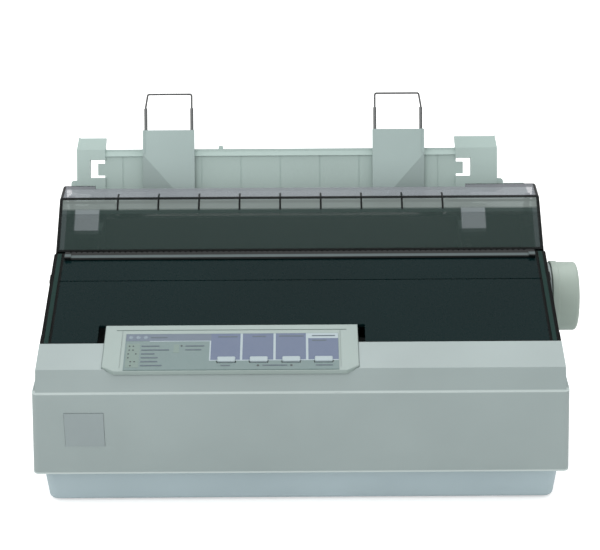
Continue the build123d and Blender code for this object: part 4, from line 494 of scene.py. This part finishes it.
# Edges of the printed fields, in millimetres across and up the slope.
film_left, film_right = -120.5, 26.1
key_left, key_low, key_high = -61.6, 7.4, 34.4
rules = (-40.6, -17.8, 4.6)   # pale rules between the fields over the keys
rule_half = 0.8
band_low = 27.2               # lower edge of the band beside the lamps
band_rule_left = -104.0
last_key_top = 29.2           # the last field ends lower, under a pale one
frame_rule = 0.9              # pale rules round the fields
band_rule = 0.6
lamp_first, lamp_pitch, lamp_row = -117.2, 5.15, 30.8
first_row, row_pitch = 21.9, 3.95      # rows of dots and bars beside the lamps


def print_fields():
    """Four blue fields over the keys, a band beside them and pale rules between."""
    key_edges = (key_left, *rules, film_right)
    fields = []
    for index in range(4):
        left = key_edges[index] + (rule_half if index else 0.0)
        right = key_edges[index + 1] - (rule_half if index < 3 else 0.0)
        top = key_high if index < 3 else last_key_top
        fields.append(field(left, right, key_low, top))
    blue = film("print_blue", srgb(72, 88, 116))
    add_print("print_fields", fields, blue)
    band = film("print_band", srgb(79, 94, 110))
    add_print("print_band", [field(film_left, key_left, band_low, key_high)], band)
    pale = film("print_pale", srgb(150, 165, 170))
    pale_fields = [field(x - rule_half, x + rule_half, key_low, key_high) for x in rules]
    pale_left = key_left - frame_rule
    pale_fields += [
        field(rules[2] + rule_half, film_right, last_key_top, key_high),
        field(pale_left, film_right, key_low - rule_half, key_low),
        field(pale_left, key_left, key_low, band_low - band_rule),
        field(band_rule_left, key_left, band_low - band_rule, band_low),
    ]
    add_print("print_rules", pale_fields, pale)


def print_marks():
    """Lamp windows, tinted fields, and rows of dots with plain short bars."""
    window = film("print_window", srgb(106, 123, 134), 0.25)
    window_radius, window_corners = 1.5, 24
    windows = [
        disc(lamp_first + lamp_pitch * index, lamp_row, window_radius, window_corners)
        for index in range(3)
    ]
    add_print("print_windows", windows, window, 1)
    tint = film("print_tint", srgb(98, 119, 112))
    tint_fields = [field(-119.4, -110.4, 0.2, 24.6), field(-87.2, -83.4, 15, 23.5)]
    add_print("print_tints", tint_fields, tint)
    dot_radius = 0.62
    dot_rows = (
        (-117.6, -115.0), (-117.6, -115.0), (-118.0, -112.8), (-118.0,), (-116.0, -113.4),
        (-116.0,),
    )
    dots = [
        disc(x, first_row - row * row_pitch, dot_radius)
        for row, places in enumerate(dot_rows) for x in places
    ]
    dots.append(disc(-81.8, 22.0, 0.7))
    dots.extend(disc(x, 1.7, 0.9) for x in (-29.0, -6.2))
    ink = film("print_ink", srgb(24, 38, 40), 0.4)
    add_print("print_dots", dots, ink, 1)
    # Bars beside the rows of dots, over the keys and under them.
    bar_left, bar_half = -109.2, 0.55
    row_ends = (-97.0, -90.2, -100.0, -97.6, -97.6, -94.5)
    bars = [
        (bar_left, end, first_row - row * row_pitch) for row, end in enumerate(row_ends)
    ]
    bars += [
        (-79.1, -66.2, first_row), (-79.1, -68.1, first_row - row_pitch), (-103.5, -91.9, 30.8),
        (-56.8, -43.4, 31.2), (-33.2, -23.6, 31.4), (-14.8, 2.3, 31.6), (8.0, 24.0, 31.8),
        (8.0, 18.0, 27.0), (-54.4, -47.9, 1.8), (-26.0, -9.0, 1.8), (10.3, 22.0, 1.8),
    ]
    bar_fields = [field(x0, x1, u - bar_half, u + bar_half) for x0, x1, u in bars]
    add_print("print_bars", bar_fields, film("print_soft_ink", srgb(62, 78, 88), 0.4), 1)


print_fields()
print_marks()


# ---------------------------------------------------------------- stage, light, camera
floor_lift = 0.45             # the floor looks this much brighter than it is lit
floor_size = 9.0


def make_stage():
    """A pale floor."""
    bpy.ops.mesh.primitive_grid_add(size=1, x_subdivisions=2, y_subdivisions=2)
    floor = bpy.context.object
    floor.name = "floor"
    floor.scale = (floor_size, floor_size, 1)
    mat = Nodes("floor_white")
    mat.shader.inputs["Base Color"].default_value = (0.92, 0.92, 0.92, 1)
    mat.shader.inputs["Roughness"].default_value = 0.9
    mat.shader.inputs["Emission Color"].default_value = (1, 1, 1, 1)
    seen = mat.add("ShaderNodeLightPath").outputs["Is Camera Ray"]
    mat.join(mat.maths("MULTIPLY", seen, floor_lift), mat.shader.inputs["Emission Strength"])
    floor.data.materials.append(mat.material)


def add_lamp(name, place, target, size, power):
    lamp = bpy.data.lights.new(name, "AREA")
    lamp.shape = "RECTANGLE"
    lamp.size, lamp.size_y = size
    lamp.energy = power
    holder = bpy.data.objects.new(name, lamp)
    bpy.context.scene.collection.objects.link(holder)
    holder.location = place
    aim = Vector(target) - Vector(place)
    holder.rotation_euler = aim.to_track_quat("-Z", "Y").to_euler()


key_power = 9.0
top_power = 23.0
world_strength = 0.8


def make_light():
    """Soft light from everywhere, a key from the front left and a large lamp behind and above."""
    world = bpy.data.worlds.new("studio")
    bpy.context.scene.world = world
    world.use_nodes = True
    back = world.node_tree.nodes["Background"]
    back.inputs["Color"].default_value = (1, 1, 1, 1)
    back.inputs["Strength"].default_value = world_strength
    add_lamp("key", (-0.7, -1.3, 1.5), (0, 0, 0.05), (1.6, 1.2), key_power)
    add_lamp("top", (0.1, 0.9, 1.8), (0, 0, 0.1), (2.0, 1.6), top_power)


# The photograph's camera: a long lens in front of the machine, looking down.
image_width = 600.0
image_height = 550.0
focal_pixels = 1800.0
pitch = math.radians(27.0)
roll = math.radians(0.35)
crease_distance = 1.222       # along the lens axis to the front crease
crease_row = 393.0            # image row of the crease in the middle
crease_column = 300.0


def make_camera():
    camera = bpy.data.cameras.new("camera")
    camera.sensor_fit = "HORIZONTAL"
    camera.sensor_width = 36.0
    camera.lens = focal_pixels / image_width * camera.sensor_width
    holder = bpy.data.objects.new("camera", camera)
    bpy.context.scene.collection.objects.link(holder)
    axis = Vector((0, math.cos(pitch), -math.sin(pitch)))
    up = Vector((0, math.sin(pitch), math.cos(pitch)))
    side = Vector((1, 0, 0))
    down = (crease_row - image_height / 2) / focal_pixels * crease_distance
    across = (crease_column - image_width / 2) / focal_pixels * crease_distance
    crease = Vector((middle_x, front_y, crease_z))
    holder.location = crease - axis * crease_distance + up * down - side * across
    turn = Matrix((side, up, -axis)).transposed()
    holder.rotation_euler = (Matrix.Rotation(roll, 3, axis) @ turn).to_euler()
    bpy.context.scene.camera = holder


make_stage()
make_light()
make_camera()
bpy.context.scene.view_settings.view_transform = "Standard"
